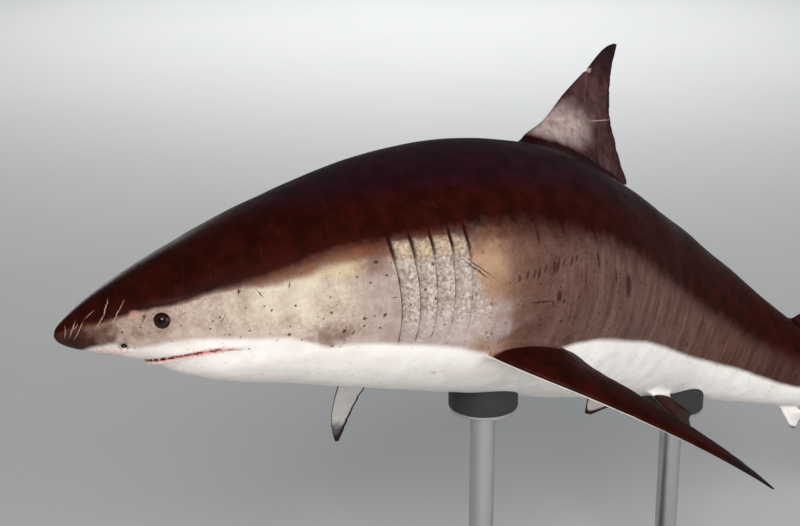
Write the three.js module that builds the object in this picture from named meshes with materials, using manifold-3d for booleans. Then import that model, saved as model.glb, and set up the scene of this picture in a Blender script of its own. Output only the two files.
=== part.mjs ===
// Great white shark, life size and whole, held still on a flat base by two short rods.
// Millimetres, +Z up. The head points to -X and the shark's left side faces -Y.
// The body is first described straight, in parts of its length: "along" runs from the snout (0) to the tip
// of the upper tail lobe (1), "side" from the middle to the shark's right, and "up" to its back.
// A spine curve then bends and leans every solid into the pose.
import * as THREE from 'three';
import { mergeVertices } from 'three/addons/utils/BufferGeometryUtils.js';
import Module from 'manifold-3d';

const wasm = await Module();
wasm.setup();

// Overall sizes
const LENGTH = 4000;
const GAP = 0.4;
const SNOUT = new THREE.Vector3(-1485, -66, 1650);

// The pose: turns of the spine in degrees, each spread smoothly between two places along the body
const HEADING_START = -4.6;
const HEADING_TURNS = [
  { by: 21.1, from: 0.05, to: 0.45 },
  { by: -31.7, from: 0.35, to: 0.85 },
];
const DIVE_START = -3.3;
const DIVE_TURNS = [
  { by: 27.0, from: 0.08, to: 0.50 },
  { by: 4.1, from: 0.40, to: 0.75 },
  { by: -12.0, from: 0.60, to: 0.92 },
];
const LEAN = 12.2;
const SPINE_STEPS = 400;

// Body sections, in per cent of the length:
// along, height of the back, depth of the belly, half width, height of the widest line
const SECTIONS = [
  [0, 0, 0, 0, 0],
  [1, 1.15, 0.95, 1.2, 0],
  [3, 2.3, 1.75, 2.35, 0.1],
  [6, 3.6, 2.9, 3.7, 0.2],
  [10, 5.0, 4.6, 5.3, 0.1],
  [15, 6.5, 6.3, 6.8, -0.2],
  [20, 7.7, 7.6, 7.7, -0.4],
  [28, 9.2, 9.0, 8.7, -0.6],
  [37, 9.9, 9.5, 8.8, -0.4],
  [47, 9.1, 8.8, 7.8, 0],
  [60, 6.6, 6.5, 5.4, 0.3],
  [72, 3.9, 4.1, 3.2, 0.3],
  [80, 2.4, 2.2, 2.5, 0.1],
  [84, 1.75, 1.6, 1.9, 0],
  [88, 0.85, 0.85, 0.6, 0],
  [89.8, 0.3, 0.3, 0.2, 0],
];
const BODY_END = 0.898;
const NOSE_FLAT = 1e-4;
const BODY_RINGS = 44;
const BODY_SIDES = 24;
const RING_CROWDING = 1.4;
const FLANK_ROUNDNESS = 2.1;
const BACK_ROUNDNESS = 2.05;
const KEEL_ROUNDNESS = 1.35;
const KEEL_FROM = 0.70;
const KEEL_TO = 0.80;

// Mouth: a thin curved opening under the snout, wider at the front than at the corners
const MOUTH_BLOCK_START = 0.03;
const MOUTH_FRONT = 0.053;
const MOUTH_CORNER = 0.104;
const MOUTH_LINE = [[0.03, -0.0270], [0.053, -0.0270], [0.075, -0.0250], [0.09, -0.0240], [0.104, -0.0252]];
const MOUTH_GAP_FRONT = 0.0032;
const MOUTH_GAP_CORNER = 0.0008;
const CHIN_DROP = 0.0045;
const CHIN_WIDTH = 0.036;
const CHIN_SWEEP = 0.030;
const CHIN_RISE = 0.010;
const CHIN_AHEAD = 0.003;
const CHIN_BLEND = 0.012;
const CHIN_FADE = [0.085, 0.16];
const JAW_END = 0.128;
const TEETH_PER_ROW = 18;
const TOOTH_ROW_PART = 0.82;
const TOOTH_SMALLEST = 0.45;
const TOOTH_PART_OF_GAP = 0.8;
const TOOTH_WIDTH = 17;
const TOOTH_DEPTH = 5;
const TOOTH_ROOT = 4;
const TOOTH_TIP = 0.95;
const TOOTH_THINNING = 0.8;
const UPPER_TOOTH_INSET = 9;
const LOWER_TOOTH_INSET = 17;

// Eyes and nostrils
const EYE_ALONG = 0.0620;
const EYE_UP = 0.0020;
const EYE_RADIUS = 28;
const EYE_SINK = 20;
const EYE_FACETS = [12, 8];
const NOSTRIL_ALONG = 0.0385;
const NOSTRIL_UP = -0.0110;
const NOSTRIL_SIZE = { length: 15, width: 6, depth: 8 };
const NOSTRIL_FACETS = [8, 6];

// Gill slits: place of the upper end and lower end of each, and how far in they go
const GILLS = [
  { along: [0.2030, 0.2052], up: [0.0255, -0.0400] },
  { along: [0.2160, 0.2162], up: [0.0310, -0.0410] },
  { along: [0.2285, 0.2262], up: [0.0300, -0.0400] },
  { along: [0.2405, 0.2375], up: [0.0285, -0.0400] },
  { along: [0.2510, 0.2500], up: [0.0270, -0.0380] },
];
const GILL_WIDTH = 5;
const GILL_DEPTH = 13;
const GILL_END_DEPTH = 0.25;

// Fins. The front and rear edges give the place along the body at heights up the blade, from the root, which
// is inside the body, to the tip, and `rows` is how many steps the blade is made of.
const FIN_EDGE = 1.2;
const FIN_TAPER = 0.8;
const FIN_CHORD_STEPS = 5;
const FIN_ROW_CROWDING = 1.35;
const NO_FLARE = { root: 0, share: 0, over: 1 };

const FIRST_DORSAL = {
  front: [[0.080, 0.352], [0.0985, 0.3685], [0.1038, 0.3728], [0.1231, 0.3964], [0.1483, 0.4160],
    [0.177, 0.4405], [0.2028, 0.4610], [0.2075, 0.4680]],
  rear: [[0.080, 0.4750], [0.0915, 0.4760], [0.0965, 0.5045], [0.1120, 0.4937], [0.1305, 0.4825],
    [0.142, 0.4755], [0.164, 0.4700], [0.182, 0.4685], [0.2075, 0.4712]],
  thickness: 0.0140,
  from: 0.080,
  to: 0.2075,
  rows: 13,
  flare: { root: 0.096, share: 2.2, over: 0.010 },
};

const SECOND_DORSAL = {
  front: [[0.026, 0.704], [0.0385, 0.716], [0.0475, 0.7275], [0.0545, 0.7355]],
  rear: [[0.026, 0.733], [0.0365, 0.7335], [0.0395, 0.7520], [0.0460, 0.7420], [0.0545, 0.7395]],
  thickness: 0.0050,
  from: 0.026,
  to: 0.0545,
  rows: 6,
};

const ANAL_FIN = {
  front: [[0.024, 0.724], [0.0375, 0.736], [0.0460, 0.7475], [0.0530, 0.7560]],
  rear: [[0.024, 0.752], [0.0345, 0.7525], [0.0370, 0.7700], [0.0440, 0.7610], [0.0530, 0.7600]],
  thickness: 0.0048,
  from: 0.024,
  to: 0.053,
  rows: 6,
};

const CAUDAL_UPPER = {
  front: [[0, 0.802], [0.018, 0.8260], [0.045, 0.8620], [0.085, 0.9150], [0.120, 0.9620], [0.143, 0.9930],
    [0.148, 0.9985]],
  rear: [[0, 0.9020], [0.018, 0.9080], [0.045, 0.9190], [0.085, 0.9480], [0.115, 0.9780], [0.1235, 0.9880],
    [0.1260, 0.9835], [0.136, 0.9960], [0.148, 1.0000]],
  thickness: 0.0150,
  from: 0,
  to: 0.148,
  rows: 15,
};

const CAUDAL_LOWER = {
  front: [[0, 0.802], [0.017, 0.8280], [0.045, 0.8530], [0.085, 0.8860], [0.120, 0.9180], [0.140, 0.9390]],
  rear: [[0, 0.9020], [0.017, 0.9040], [0.045, 0.9060], [0.085, 0.9190], [0.120, 0.9360], [0.140, 0.9430]],
  thickness: 0.0140,
  from: 0,
  to: 0.140,
  rows: 11,
};

const PECTORAL = {
  front: [[-0.030, 0.2560], [0, 0.2680], [0.030, 0.2830], [0.070, 0.3120], [0.110, 0.3480], [0.145, 0.3880],
    [0.166, 0.4180]],
  rear: [[-0.030, 0.3270], [0, 0.3280], [0.012, 0.3520], [0.030, 0.3480], [0.070, 0.3620], [0.110, 0.3850],
    [0.145, 0.4100], [0.166, 0.4230]],
  thickness: 0.0130,
  from: -0.030,
  to: 0.166,
  rows: 13,
};
const PECTORAL_ROOT = { side: 0.066, up: -0.054 };
const PECTORAL_DROOP = 24;
const PECTORAL_SAG = 0.9;

const PELVIC = {
  front: [[-0.020, 0.5300], [0, 0.5420], [0.020, 0.5560], [0.038, 0.5720]],
  rear: [[-0.020, 0.5820], [0, 0.5830], [0.007, 0.6020], [0.020, 0.5900], [0.038, 0.5800]],
  thickness: 0.0065,
  from: -0.020,
  to: 0.038,
  rows: 7,
};
const PELVIC_ROOT = { side: 0.030, up: -0.070 };
const PELVIC_DROOP = 38;
const PELVIC_SAG = 0.5;

// Where the body is divided into its lengths
const NECK = 0.185;
const GILLS_END = 0.262;
const MIDDLE = 0.50;
const STALK = 0.72;

// The stand
const BASE = { length: 2200, width: 1000, height: 30, corner: 90, bevel: 4 };
const ROD_RADIUS = 38;
const ROD_PLACES = { front: 0.345, rear: 0.615 };
const FLANGE = { radius: 95, height: 14 };
const SADDLE = { radius: 105, length: 46, rise: 120 };
const ROD_SIDES = 20;
const DISC_SIDES = 24;

const COLOURS = {
  back: 0x4a2a22,
  flank: 0x83675e,
  belly: 0xd8cdc0,
  fin: 0x51362e,
  eye: 0x160b09,
  stand: 0x2b2d30,
};

const radians = THREE.MathUtils.degToRad;

// Smooth step with no corner at either end.
function ease(x, from, to) {
  return THREE.MathUtils.smootherstep(x, from, to);
}

// A curve through points that never overshoots them: cubic pieces with Fritsch-Carlson slopes.
function throughPoints(xs, ys) {
  const last = xs.length - 1;
  const rise = xs.slice(1).map((x, i) => (ys[i + 1] - ys[i]) / (x - xs[i]));
  const slopes = xs.map((x, i) => {
    if (i === 0) return rise[0];
    if (i === last) return rise[last - 1];
    if (rise[i - 1] * rise[i] <= 0) return 0;
    const before = xs[i] - xs[i - 1];
    const after = xs[i + 1] - xs[i];
    const weight = 2 * after + before;
    const other = after + 2 * before;
    return (weight + other) / (weight / rise[i - 1] + other / rise[i]);
  });
  return (x) => {
    let i = 0;
    while (i < last - 1 && x > xs[i + 1]) i += 1;
    const step = xs[i + 1] - xs[i];
    const t = THREE.MathUtils.clamp((x - xs[i]) / step, 0, 1);
    const start = ys[i] * (1 + 2 * t) * (1 - t) ** 2 + slopes[i] * step * t * (1 - t) ** 2;
    const end = ys[i + 1] * t * t * (3 - 2 * t) + slopes[i + 1] * step * t * t * (t - 1);
    return start + end;
  };
}

function throughTable(rows) {
  return throughPoints(rows.map((row) => row[0]), rows.map((row) => row[1]));
}

// ---- The spine ---------------------------------------------------------------------------------

function turned(start, turns, along) {
  const total = turns.reduce((sum, turn) => sum + turn.by * ease(along, turn.from, turn.to), start);
  return radians(total);
}

// Directions of the body at a place along it: towards the tail, the back and the shark's right side.
function axesAt(along) {
  const heading = turned(HEADING_START, HEADING_TURNS, along);
  const dive = turned(DIVE_START, DIVE_TURNS, along);
  const lean = radians(LEAN);
  const tailward = new THREE.Vector3(
    Math.cos(heading) * Math.cos(dive),
    Math.sin(heading) * Math.cos(dive),
    -Math.sin(dive),
  );
  const level = new THREE.Vector3(-Math.sin(heading), Math.cos(heading), 0);
  const upright = tailward.clone().cross(level);
  const up = upright.clone().multiplyScalar(Math.cos(lean)).addScaledVector(level, Math.sin(lean));
  const side = level.clone().multiplyScalar(Math.cos(lean)).addScaledVector(upright, -Math.sin(lean));
  return { tailward, up, side };
}

// Points along the spine, summed from short steps.
function spinePoints() {
  const points = [SNOUT.clone()];
  for (let i = 0; i < SPINE_STEPS; i += 1) {
    const { tailward } = axesAt((i + 0.5) / SPINE_STEPS);
    points.push(points[i].clone().addScaledVector(tailward, LENGTH / SPINE_STEPS));
  }
  return points;
}

const SPINE = spinePoints();

// Where a point of the straight body, given in parts of the length, lies in the pose, in millimetres.
function posed(along, side, up) {
  const place = THREE.MathUtils.clamp(along, 0, 1) * SPINE_STEPS;
  const step = Math.min(Math.floor(place), SPINE_STEPS - 1);
  const axes = axesAt(along);
  const point = SPINE[step].clone().lerp(SPINE[step + 1], place - step);
  const beyond = along - THREE.MathUtils.clamp(along, 0, 1);
  return point
    .addScaledVector(axes.tailward, beyond * LENGTH)
    .addScaledVector(axes.side, side * LENGTH)
    .addScaledVector(axes.up, up * LENGTH);
}

// ---- Solids ------------------------------------------------------------------------------------

function signedVolume(points, faces) {
  return faces.reduce((sum, [a, b, c]) => sum + points[a].dot(points[b].clone().cross(points[c])), 0);
}

function solidOf(points, faces) {
  const outward = signedVolume(points, faces) > 0;
  const turnedFaces = outward ? faces : faces.map(([a, b, c]) => [a, c, b]);
  return new wasm.Manifold(new wasm.Mesh({
    numProp: 3,
    vertProperties: new Float32Array(points.flatMap((point) => point.toArray())),
    triVerts: new Uint32Array(turnedFaces.flat()),
  }));
}

// A closed solid from rings of points that follow each other, with both ends capped.
function loft(rings) {
  const sides = rings[0].length;
  const points = rings.flat();
  const faces = [];
  for (let ring = 0; ring < rings.length - 1; ring += 1) {
    for (let k = 0; k < sides; k += 1) {
      const a = ring * sides + k;
      const b = ring * sides + ((k + 1) % sides);
      faces.push([a, b, a + sides], [b, b + sides, a + sides]);
    }
  }
  for (const ring of [0, rings.length - 1]) {
    const centre = new THREE.Vector3();
    rings[ring].forEach((point) => centre.addScaledVector(point, 1 / sides));
    points.push(centre);
    for (let k = 0; k < sides; k += 1) {
      const edge = [ring * sides + k, ring * sides + ((k + 1) % sides)];
      faces.push(ring === 0 ? [points.length - 1, edge[1], edge[0]] : [points.length - 1, edge[0], edge[1]]);
    }
  }
  return solidOf(points, faces);
}

// A solid from a three.js geometry whose shared corners are merged.
function solidFrom(geometry, matrix) {
  const bare = geometry.clone();
  bare.deleteAttribute('normal');
  bare.deleteAttribute('uv');
  const merged = mergeVertices(bare.applyMatrix4(matrix));
  return new wasm.Manifold(new wasm.Mesh({
    numProp: 3,
    vertProperties: new Float32Array(merged.attributes.position.array),
    triVerts: new Uint32Array(merged.index.array),
  }));
}

function joined(solids) {
  return solids.reduce((sum, solid) => sum.add(solid));
}

function meshOf(name, solid, colour, roughness) {
  const mesh = solid.getMesh();
  const geometry = new THREE.BufferGeometry();
  geometry.setAttribute('position', new THREE.BufferAttribute(new Float32Array(mesh.vertProperties), 3));
  geometry.setIndex(new THREE.BufferAttribute(new Uint32Array(mesh.triVerts), 1));
  geometry.computeVertexNormals();
  const material = new THREE.MeshStandardMaterial({ color: colour, roughness, metalness: 0 });
  const result = new THREE.Mesh(geometry, material);
  result.name = name;
  return result;
}

// ---- The body ----------------------------------------------------------------------------------

const sectionRoots = SECTIONS.map((row) => Math.sqrt(row[0] / 100));
const sectionCurves = [1, 2, 3, 4].map((k) => (
  throughPoints(sectionRoots, SECTIONS.map((row) => row[k] / 100))
));

function sectionAt(along) {
  const [back, belly, width, middle] = sectionCurves.map((curve) => curve(Math.sqrt(along)));
  return { back, belly, width, middle };
}

const mouthLine = throughTable(MOUTH_LINE);

function mouthGap(along) {
  const t = THREE.MathUtils.clamp((along - MOUTH_FRONT) / (MOUTH_CORNER - MOUTH_FRONT), 0, 1);
  return THREE.MathUtils.lerp(MOUTH_GAP_FRONT, MOUTH_GAP_CORNER, t);
}

// How far the lower jaw hangs below the line of the snout: a step that starts on a curve bowed forward.
function chinDrop(along, side, up) {
  const front = MOUTH_FRONT - CHIN_AHEAD + CHIN_SWEEP * (side / CHIN_WIDTH) ** 2;
  const starts = ease(along, front, front + CHIN_RISE);
  const fades = 1 - ease(along, CHIN_FADE[0], CHIN_FADE[1]);
  const below = ease(mouthLine(along) - up, 0, CHIN_BLEND);
  return CHIN_DROP * starts * fades * below;
}

// A point of the body's surface: a rounded section whose sides grow sharp along the tail's keels.
function skinPoint(along, angle, grow = 0) {
  const { back, belly, width, middle } = sectionAt(along);
  const flank = THREE.MathUtils.lerp(FLANK_ROUNDNESS, KEEL_ROUNDNESS, ease(along, KEEL_FROM, KEEL_TO));
  const across = Math.sin(angle);
  const upright = Math.cos(angle);
  const side = (width + grow) * Math.sign(across) * Math.abs(across) ** (2 / flank);
  const reach = (upright > 0 ? back - middle : belly + middle) + grow;
  const up = middle + reach * Math.sign(upright) * Math.abs(upright) ** (2 / BACK_ROUNDNESS);
  return [side, up - chinDrop(along, side, up)];
}

// The whole body from snout to tail root, grown outwards by a few tenths where a neighbour is fitted to it.
function bodySolid(grow = 0) {
  const rings = [];
  for (let i = 0; i <= BODY_RINGS; i += 1) {
    const along = NOSE_FLAT + (BODY_END - NOSE_FLAT) * (i / BODY_RINGS) ** RING_CROWDING;
    const longer = i === BODY_RINGS ? grow / LENGTH : 0;
    const ring = [];
    for (let k = 0; k < BODY_SIDES; k += 1) {
      const [side, up] = skinPoint(along, (2 * Math.PI * k) / BODY_SIDES, grow / LENGTH);
      ring.push(posed(along + longer, side, up));
    }
    rings.push(ring);
  }
  return loft(rings);
}

// The half width of the body at a height, for placing things on its sides.
function halfWidthAt(along, up) {
  const { back, belly, width, middle } = sectionAt(along);
  const reach = up > middle ? (up - middle) / (back - middle) : (middle - up) / (belly + middle);
  return width * (1 - Math.min(reach, 1) ** BACK_ROUNDNESS) ** (1 / FLANK_ROUNDNESS);
}

// A block across the whole body between two places along it.
function lengthBlock(from, to) {
  const reach = 0.3;
  const steps = Math.max(2, Math.ceil((to - from) / 0.03));
  const corners = [[-reach, -reach], [reach, -reach], [reach, reach], [-reach, reach]];
  const rings = [];
  for (let i = 0; i <= steps; i += 1) {
    const along = THREE.MathUtils.lerp(from, to, i / steps);
    rings.push(corners.map(([side, up]) => posed(along, side, up)));
  }
  return loft(rings);
}

// ---- The mouth ---------------------------------------------------------------------------------

// A slab across the head between two heights, each a function of the place along the body.
function mouthSlab(from, to, topAt, bottomAt) {
  const reach = 0.2;
  const steps = 8;
  const rings = [];
  for (let i = 0; i <= steps; i += 1) {
    const along = THREE.MathUtils.lerp(from, to, i / steps);
    const heights = [topAt(along), bottomAt(along)];
    rings.push([
      posed(along, -reach, heights[0]),
      posed(along, reach, heights[0]),
      posed(along, reach, heights[1]),
      posed(along, -reach, heights[1]),
    ]);
  }
  return loft(rings);
}

function mouthOpening() {
  const lip = (sign) => (along) => mouthLine(along) + (sign * mouthGap(along)) / 2;
  return mouthSlab(MOUTH_BLOCK_START, MOUTH_CORNER, lip(1), lip(-1));
}

// The lower jaw's space: all that is under the mouth line back to the joint with the throat.
function jawSpace(shrink) {
  const inset = shrink / LENGTH;
  return mouthSlab(MOUTH_BLOCK_START, JAW_END - inset, (along) => mouthLine(along) - inset, () => -0.2);
}

// The lip's outline on one side, from the middle of the snout's underside back to the corner of the mouth,
// as places with the length walked so far. `sign` is 1 for the upper lip and -1 for the lower one.
function lipOutline(sign) {
  const steps = 200;
  const outline = [];
  let walked = 0;
  for (let i = 0; i <= steps; i += 1) {
    const along = THREE.MathUtils.lerp(MOUTH_FRONT - 0.01, MOUTH_CORNER, i / steps);
    const line = mouthLine(along) + (sign * mouthGap(along)) / 2;
    const width = halfWidthAt(along, line);
    const before = outline.at(-1);
    if (width > 0 && before) walked += Math.hypot(along - before.along, width - before.width);
    if (width > 0) outline.push({ along, line, width, walked });
  }
  return outline;
}

// Teeth stand in a row at equal steps along the lip, let in from it, as flat pointed blades.
function toothRow(sign, inset) {
  const outline = lipOutline(sign);
  const perSide = TEETH_PER_ROW / 2;
  const reach = outline.at(-1).walked * TOOTH_ROW_PART;
  const teeth = [];
  for (let i = 0; i < perSide; i += 1) {
    const walked = (reach * (i + 0.5)) / perSide;
    const k = outline.findIndex((place) => place.walked >= walked);
    const place = outline[k];
    const ahead = outline[k - 1];
    const size = THREE.MathUtils.lerp(1, TOOTH_SMALLEST, i / perSide);
    for (const hand of [-1, 1]) teeth.push(toothSolid({ place, ahead, hand, sign, inset, size }));
  }
  return joined(teeth);
}

function toothSolid({ place, ahead, hand, sign, inset, size }) {
  const { along, line, width } = place;
  const { up } = axesAt(along);
  const lip = posed(along, hand * width, line);
  const row = posed(ahead.along, hand * ahead.width, line).sub(lip).normalize();
  const inward = row.clone().cross(up).multiplyScalar(-hand);
  const height = TOOTH_PART_OF_GAP * mouthGap(along) * LENGTH + TOOTH_ROOT;
  const root = lip.addScaledVector(inward, inset).addScaledVector(up, sign * TOOTH_ROOT);
  const rings = [0, TOOTH_TIP].map((climb) => {
    const half = (TOOTH_WIDTH / 2) * size * (1 - climb);
    const depth = (TOOTH_DEPTH / 2) * (1 - TOOTH_THINNING * climb);
    const middle = root.clone().addScaledVector(up, -sign * climb * height);
    const corners = [[-1, 0], [0, -1], [1, 0], [0, 1]];
    return corners.map(([a, b]) => (
      middle.clone().addScaledVector(row, a * half).addScaledVector(inward, b * depth)
    ));
  });
  return loft(rings);
}

// ---- Eyes, nostrils and gills ------------------------------------------------------------------

function outwardAt(along, up, hand) {
  const step = 0.002;
  const at = (s, z) => posed(s, hand * halfWidthAt(s, z), z);
  const alongSkin = at(along + step, up).sub(at(along - step, up));
  const upSkin = at(along, up + step).sub(at(along, up - step));
  return upSkin.cross(alongSkin).multiplyScalar(hand).normalize();
}

function eyeSolid(hand, radius) {
  const skin = posed(EYE_ALONG, hand * halfWidthAt(EYE_ALONG, EYE_UP), EYE_UP);
  const centre = skin.addScaledVector(outwardAt(EYE_ALONG, EYE_UP, hand), -EYE_SINK);
  return solidFrom(new THREE.SphereGeometry(radius, ...EYE_FACETS), new THREE.Matrix4().setPosition(centre));
}

function nostrilSolid(hand) {
  const skin = posed(NOSTRIL_ALONG, hand * halfWidthAt(NOSTRIL_ALONG, NOSTRIL_UP), NOSTRIL_UP);
  const out = outwardAt(NOSTRIL_ALONG, NOSTRIL_UP, hand);
  const { tailward } = axesAt(NOSTRIL_ALONG);
  const lengthwise = tailward.clone().projectOnPlane(out).normalize();
  const matrix = new THREE.Matrix4().makeBasis(
    lengthwise.clone().multiplyScalar(NOSTRIL_SIZE.length),
    out.clone().cross(lengthwise).multiplyScalar(NOSTRIL_SIZE.width),
    out.clone().multiplyScalar(NOSTRIL_SIZE.depth),
  );
  return solidFrom(new THREE.SphereGeometry(1, ...NOSTRIL_FACETS), matrix.setPosition(skin));
}

// A gill slit: a thin plate let into the side, deepest half way down.
function gillSlit({ along, up }, hand) {
  const steps = 4;
  const half = GILL_WIDTH / 2 / LENGTH;
  const rings = [];
  for (let i = 0; i <= steps; i += 1) {
    const t = i / steps;
    const height = THREE.MathUtils.lerp(up[0], up[1], t);
    const place = THREE.MathUtils.lerp(along[0], along[1], t);
    const depth = (GILL_DEPTH / LENGTH) * THREE.MathUtils.lerp(GILL_END_DEPTH, 1, Math.sin(Math.PI * t));
    const skin = halfWidthAt(place, height);
    const inner = hand * (skin - depth);
    const outer = hand * (skin + GILL_DEPTH / LENGTH);
    rings.push([
      posed(place - half, outer, height),
      posed(place + half, outer, height),
      posed(place + half, inner, height),
      posed(place - half, inner, height),
    ]);
  }
  return loft(rings);
}

// ---- Fins --------------------------------------------------------------------------------------

// Half thickness of a fin section, from 0 to 0.5, at a part of its chord: round in front, thin behind.
function foil(t) {
  return 5 * (0.2969 * Math.sqrt(t) - 0.126 * t - 0.3516 * t ** 2 + 0.2843 * t ** 3 - 0.1015 * t ** 4);
}

// A fin blade. Its front and rear edges give a place along the body at each height up the blade, and
// its thickness is in parts of the length. A root flare makes it thicker by a share that dies away over a
// height. `at` puts (along, height, thickness) into the straight body.
function blade({ front, rear, thickness, from, to, rows, at, flare = NO_FLARE }) {
  const edge = FIN_EDGE / LENGTH;
  const frontEdge = throughTable(front);
  const rearEdge = throughTable(rear);
  const rings = [];
  for (let i = 0; i <= rows; i += 1) {
    const height = THREE.MathUtils.lerp(from, to, 1 - (1 - i / rows) ** FIN_ROW_CROWDING);
    const climb = (height - from) / (to - from);
    const swell = flare.share * Math.exp(-Math.max(height - flare.root, 0) / flare.over);
    const thick = thickness * (1 - climb) ** FIN_TAPER * (1 + swell);
    const start = frontEdge(height);
    const end = Math.max(rearEdge(height), start + 4 * edge);
    const points = [];
    for (const face of [1, -1]) {
      for (let k = 0; k <= FIN_CHORD_STEPS; k += 1) {
        const step = face > 0 ? k : FIN_CHORD_STEPS - k;
        const t = (1 - Math.cos((Math.PI * step) / FIN_CHORD_STEPS)) / 2;
        points.push(at(THREE.MathUtils.lerp(start, end, t), height, face * (thick * foil(t) + edge)));
      }
    }
    rings.push(points);
  }
  return loft(rings);
}

// Where a point of a blade that stands up from the back, or hangs down from the belly, is in the pose.
const upright = (along, height, off) => posed(along, off, height);
const hanging = (along, height, off) => posed(along, off, -height);

// A paired fin leaves the side of the body at a slope and bends down towards its tip.
function pairedAt(hand, root, droop, sag) {
  const slope = radians(droop);
  return (along, height, off) => {
    const lowered = off - sag * height * height;
    const side = root.side + height * Math.cos(slope) + lowered * Math.sin(slope);
    const up = root.up - height * Math.sin(slope) + lowered * Math.cos(slope);
    return posed(along, hand * side, up);
  };
}

// ---- The stand ---------------------------------------------------------------------------------

function roundedPlate() {
  const halfLength = BASE.length / 2 - BASE.bevel;
  const halfWidth = BASE.width / 2 - BASE.bevel;
  const radius = BASE.corner;
  const shape = new THREE.Shape();
  shape.moveTo(-halfLength + radius, -halfWidth);
  shape.lineTo(halfLength - radius, -halfWidth);
  shape.absarc(halfLength - radius, -halfWidth + radius, radius, -Math.PI / 2, 0);
  shape.absarc(halfLength - radius, halfWidth - radius, radius, 0, Math.PI / 2);
  shape.absarc(-halfLength + radius, halfWidth - radius, radius, Math.PI / 2, Math.PI);
  shape.absarc(-halfLength + radius, -halfWidth + radius, radius, Math.PI, Math.PI * 1.5);
  const plate = new THREE.ExtrudeGeometry(shape, {
    depth: BASE.height - 2 * BASE.bevel,
    bevelEnabled: true,
    bevelThickness: BASE.bevel,
    bevelSize: BASE.bevel,
    bevelSegments: 1,
    curveSegments: 5,
  });
  return solidFrom(plate, new THREE.Matrix4().setPosition(0, 0, BASE.bevel));
}

function uprightCylinder(radius, bottom, top, x, y, sides) {
  const shape = new THREE.CylinderGeometry(radius, radius, top - bottom, sides);
  const matrix = new THREE.Matrix4().makeRotationX(Math.PI / 2).setPosition(x, y, (top + bottom) / 2);
  return solidFrom(shape, matrix);
}

// The lowest point of the belly at a place along the body.
function bellyOver(along) {
  return posed(along, 0, -sectionAt(along).belly);
}

// A rod stands on a round flange and ends inside a pad that fits the belly.
function rodSolids(along, fittedBody) {
  const { x, y, z } = bellyOver(along);
  const floor = BASE.height + GAP;
  const rod = uprightCylinder(ROD_RADIUS, floor, z - SADDLE.length, x, y, ROD_SIDES);
  const flange = uprightCylinder(FLANGE.radius, floor, floor + FLANGE.height, x, y, DISC_SIDES);
  const disc = uprightCylinder(SADDLE.radius, z - SADDLE.length + GAP, z + SADDLE.rise, x, y, DISC_SIDES);
  return { rod: rod.add(flange), pad: disc.subtract(fittedBody) };
}

// ---- The parts ---------------------------------------------------------------------------------

const body = bodySolid();
const fittedBody = bodySolid(GAP);

function lengthOf(from, to) {
  return body.intersect(lengthBlock(from + GAP / 2 / LENGTH, to - GAP / 2 / LENGTH));
}

function headParts() {
  const whole = body.intersect(lengthBlock(-0.05, NECK - GAP / 2 / LENGTH));
  const opening = mouthOpening();
  const sockets = [-1, 1].map((hand) => eyeSolid(hand, EYE_RADIUS + GAP));
  const hollows = joined([...sockets, ...[-1, 1].map(nostrilSolid), opening]);
  const head = whole.subtract(jawSpace(0)).subtract(hollows).add(toothRow(1, UPPER_TOOTH_INSET));
  const jaw = whole.intersect(jawSpace(GAP)).subtract(opening).add(toothRow(-1, LOWER_TOOTH_INSET));
  return [
    meshOf('head', head, COLOURS.back, 0.4),
    meshOf('lower_jaw', jaw, COLOURS.belly, 0.4),
  ];
}

function gillPart() {
  const slits = joined([-1, 1].flatMap((hand) => GILLS.map((gill) => gillSlit(gill, hand))));
  return meshOf('gill_region', lengthOf(NECK, GILLS_END).subtract(slits), COLOURS.flank, 0.4);
}

function trunkParts() {
  return [
    meshOf('trunk_front', lengthOf(GILLS_END, MIDDLE), COLOURS.back, 0.4),
    meshOf('trunk_rear', lengthOf(MIDDLE, STALK), COLOURS.flank, 0.4),
    meshOf('tail_stalk', lengthOf(STALK, 1), COLOURS.back, 0.4),
  ];
}

function eyeParts() {
  return [['eye_left', -1], ['eye_right', 1]].map(([name, hand]) => (
    meshOf(name, eyeSolid(hand, EYE_RADIUS), COLOURS.eye, 0.1)
  ));
}

function middleFinParts() {
  const fins = [
    ['first_dorsal_fin', FIRST_DORSAL, upright],
    ['second_dorsal_fin', SECOND_DORSAL, upright],
    ['anal_fin', ANAL_FIN, hanging],
  ];
  return fins.map(([name, shape, at]) => (
    meshOf(name, blade({ ...shape, at }).subtract(fittedBody), COLOURS.fin, 0.45)
  ));
}

function caudalParts() {
  const lobes = [
    ['caudal_upper_lobe', CAUDAL_UPPER, upright],
    ['caudal_lower_lobe', CAUDAL_LOWER, hanging],
  ];
  return lobes.map(([name, shape, at]) => {
    const lobe = blade({ ...shape, at, from: GAP / 2 / LENGTH });
    return meshOf(name, lobe.subtract(fittedBody), COLOURS.fin, 0.45);
  });
}

function pairedFinParts() {
  const parts = [];
  for (const [word, hand] of [['left', -1], ['right', 1]]) {
    const pectoralAt = pairedAt(hand, PECTORAL_ROOT, PECTORAL_DROOP, PECTORAL_SAG);
    const pelvicAt = pairedAt(hand, PELVIC_ROOT, PELVIC_DROOP, PELVIC_SAG);
    const pectoral = blade({ ...PECTORAL, at: pectoralAt });
    const pelvic = blade({ ...PELVIC, at: pelvicAt });
    parts.push(meshOf(`pectoral_fin_${word}`, pectoral.subtract(fittedBody), COLOURS.fin, 0.45));
    parts.push(meshOf(`pelvic_fin_${word}`, pelvic.subtract(fittedBody), COLOURS.fin, 0.45));
  }
  return parts;
}

function standParts() {
  const parts = [meshOf('stand_base', roundedPlate(), COLOURS.stand, 0.5)];
  for (const [word, along] of Object.entries(ROD_PLACES)) {
    const { rod, pad } = rodSolids(along, fittedBody);
    parts.push(meshOf(`stand_rod_${word}`, rod, COLOURS.stand, 0.4));
    parts.push(meshOf(`stand_saddle_${word}`, pad, COLOURS.stand, 0.6));
  }
  return parts;
}

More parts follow.
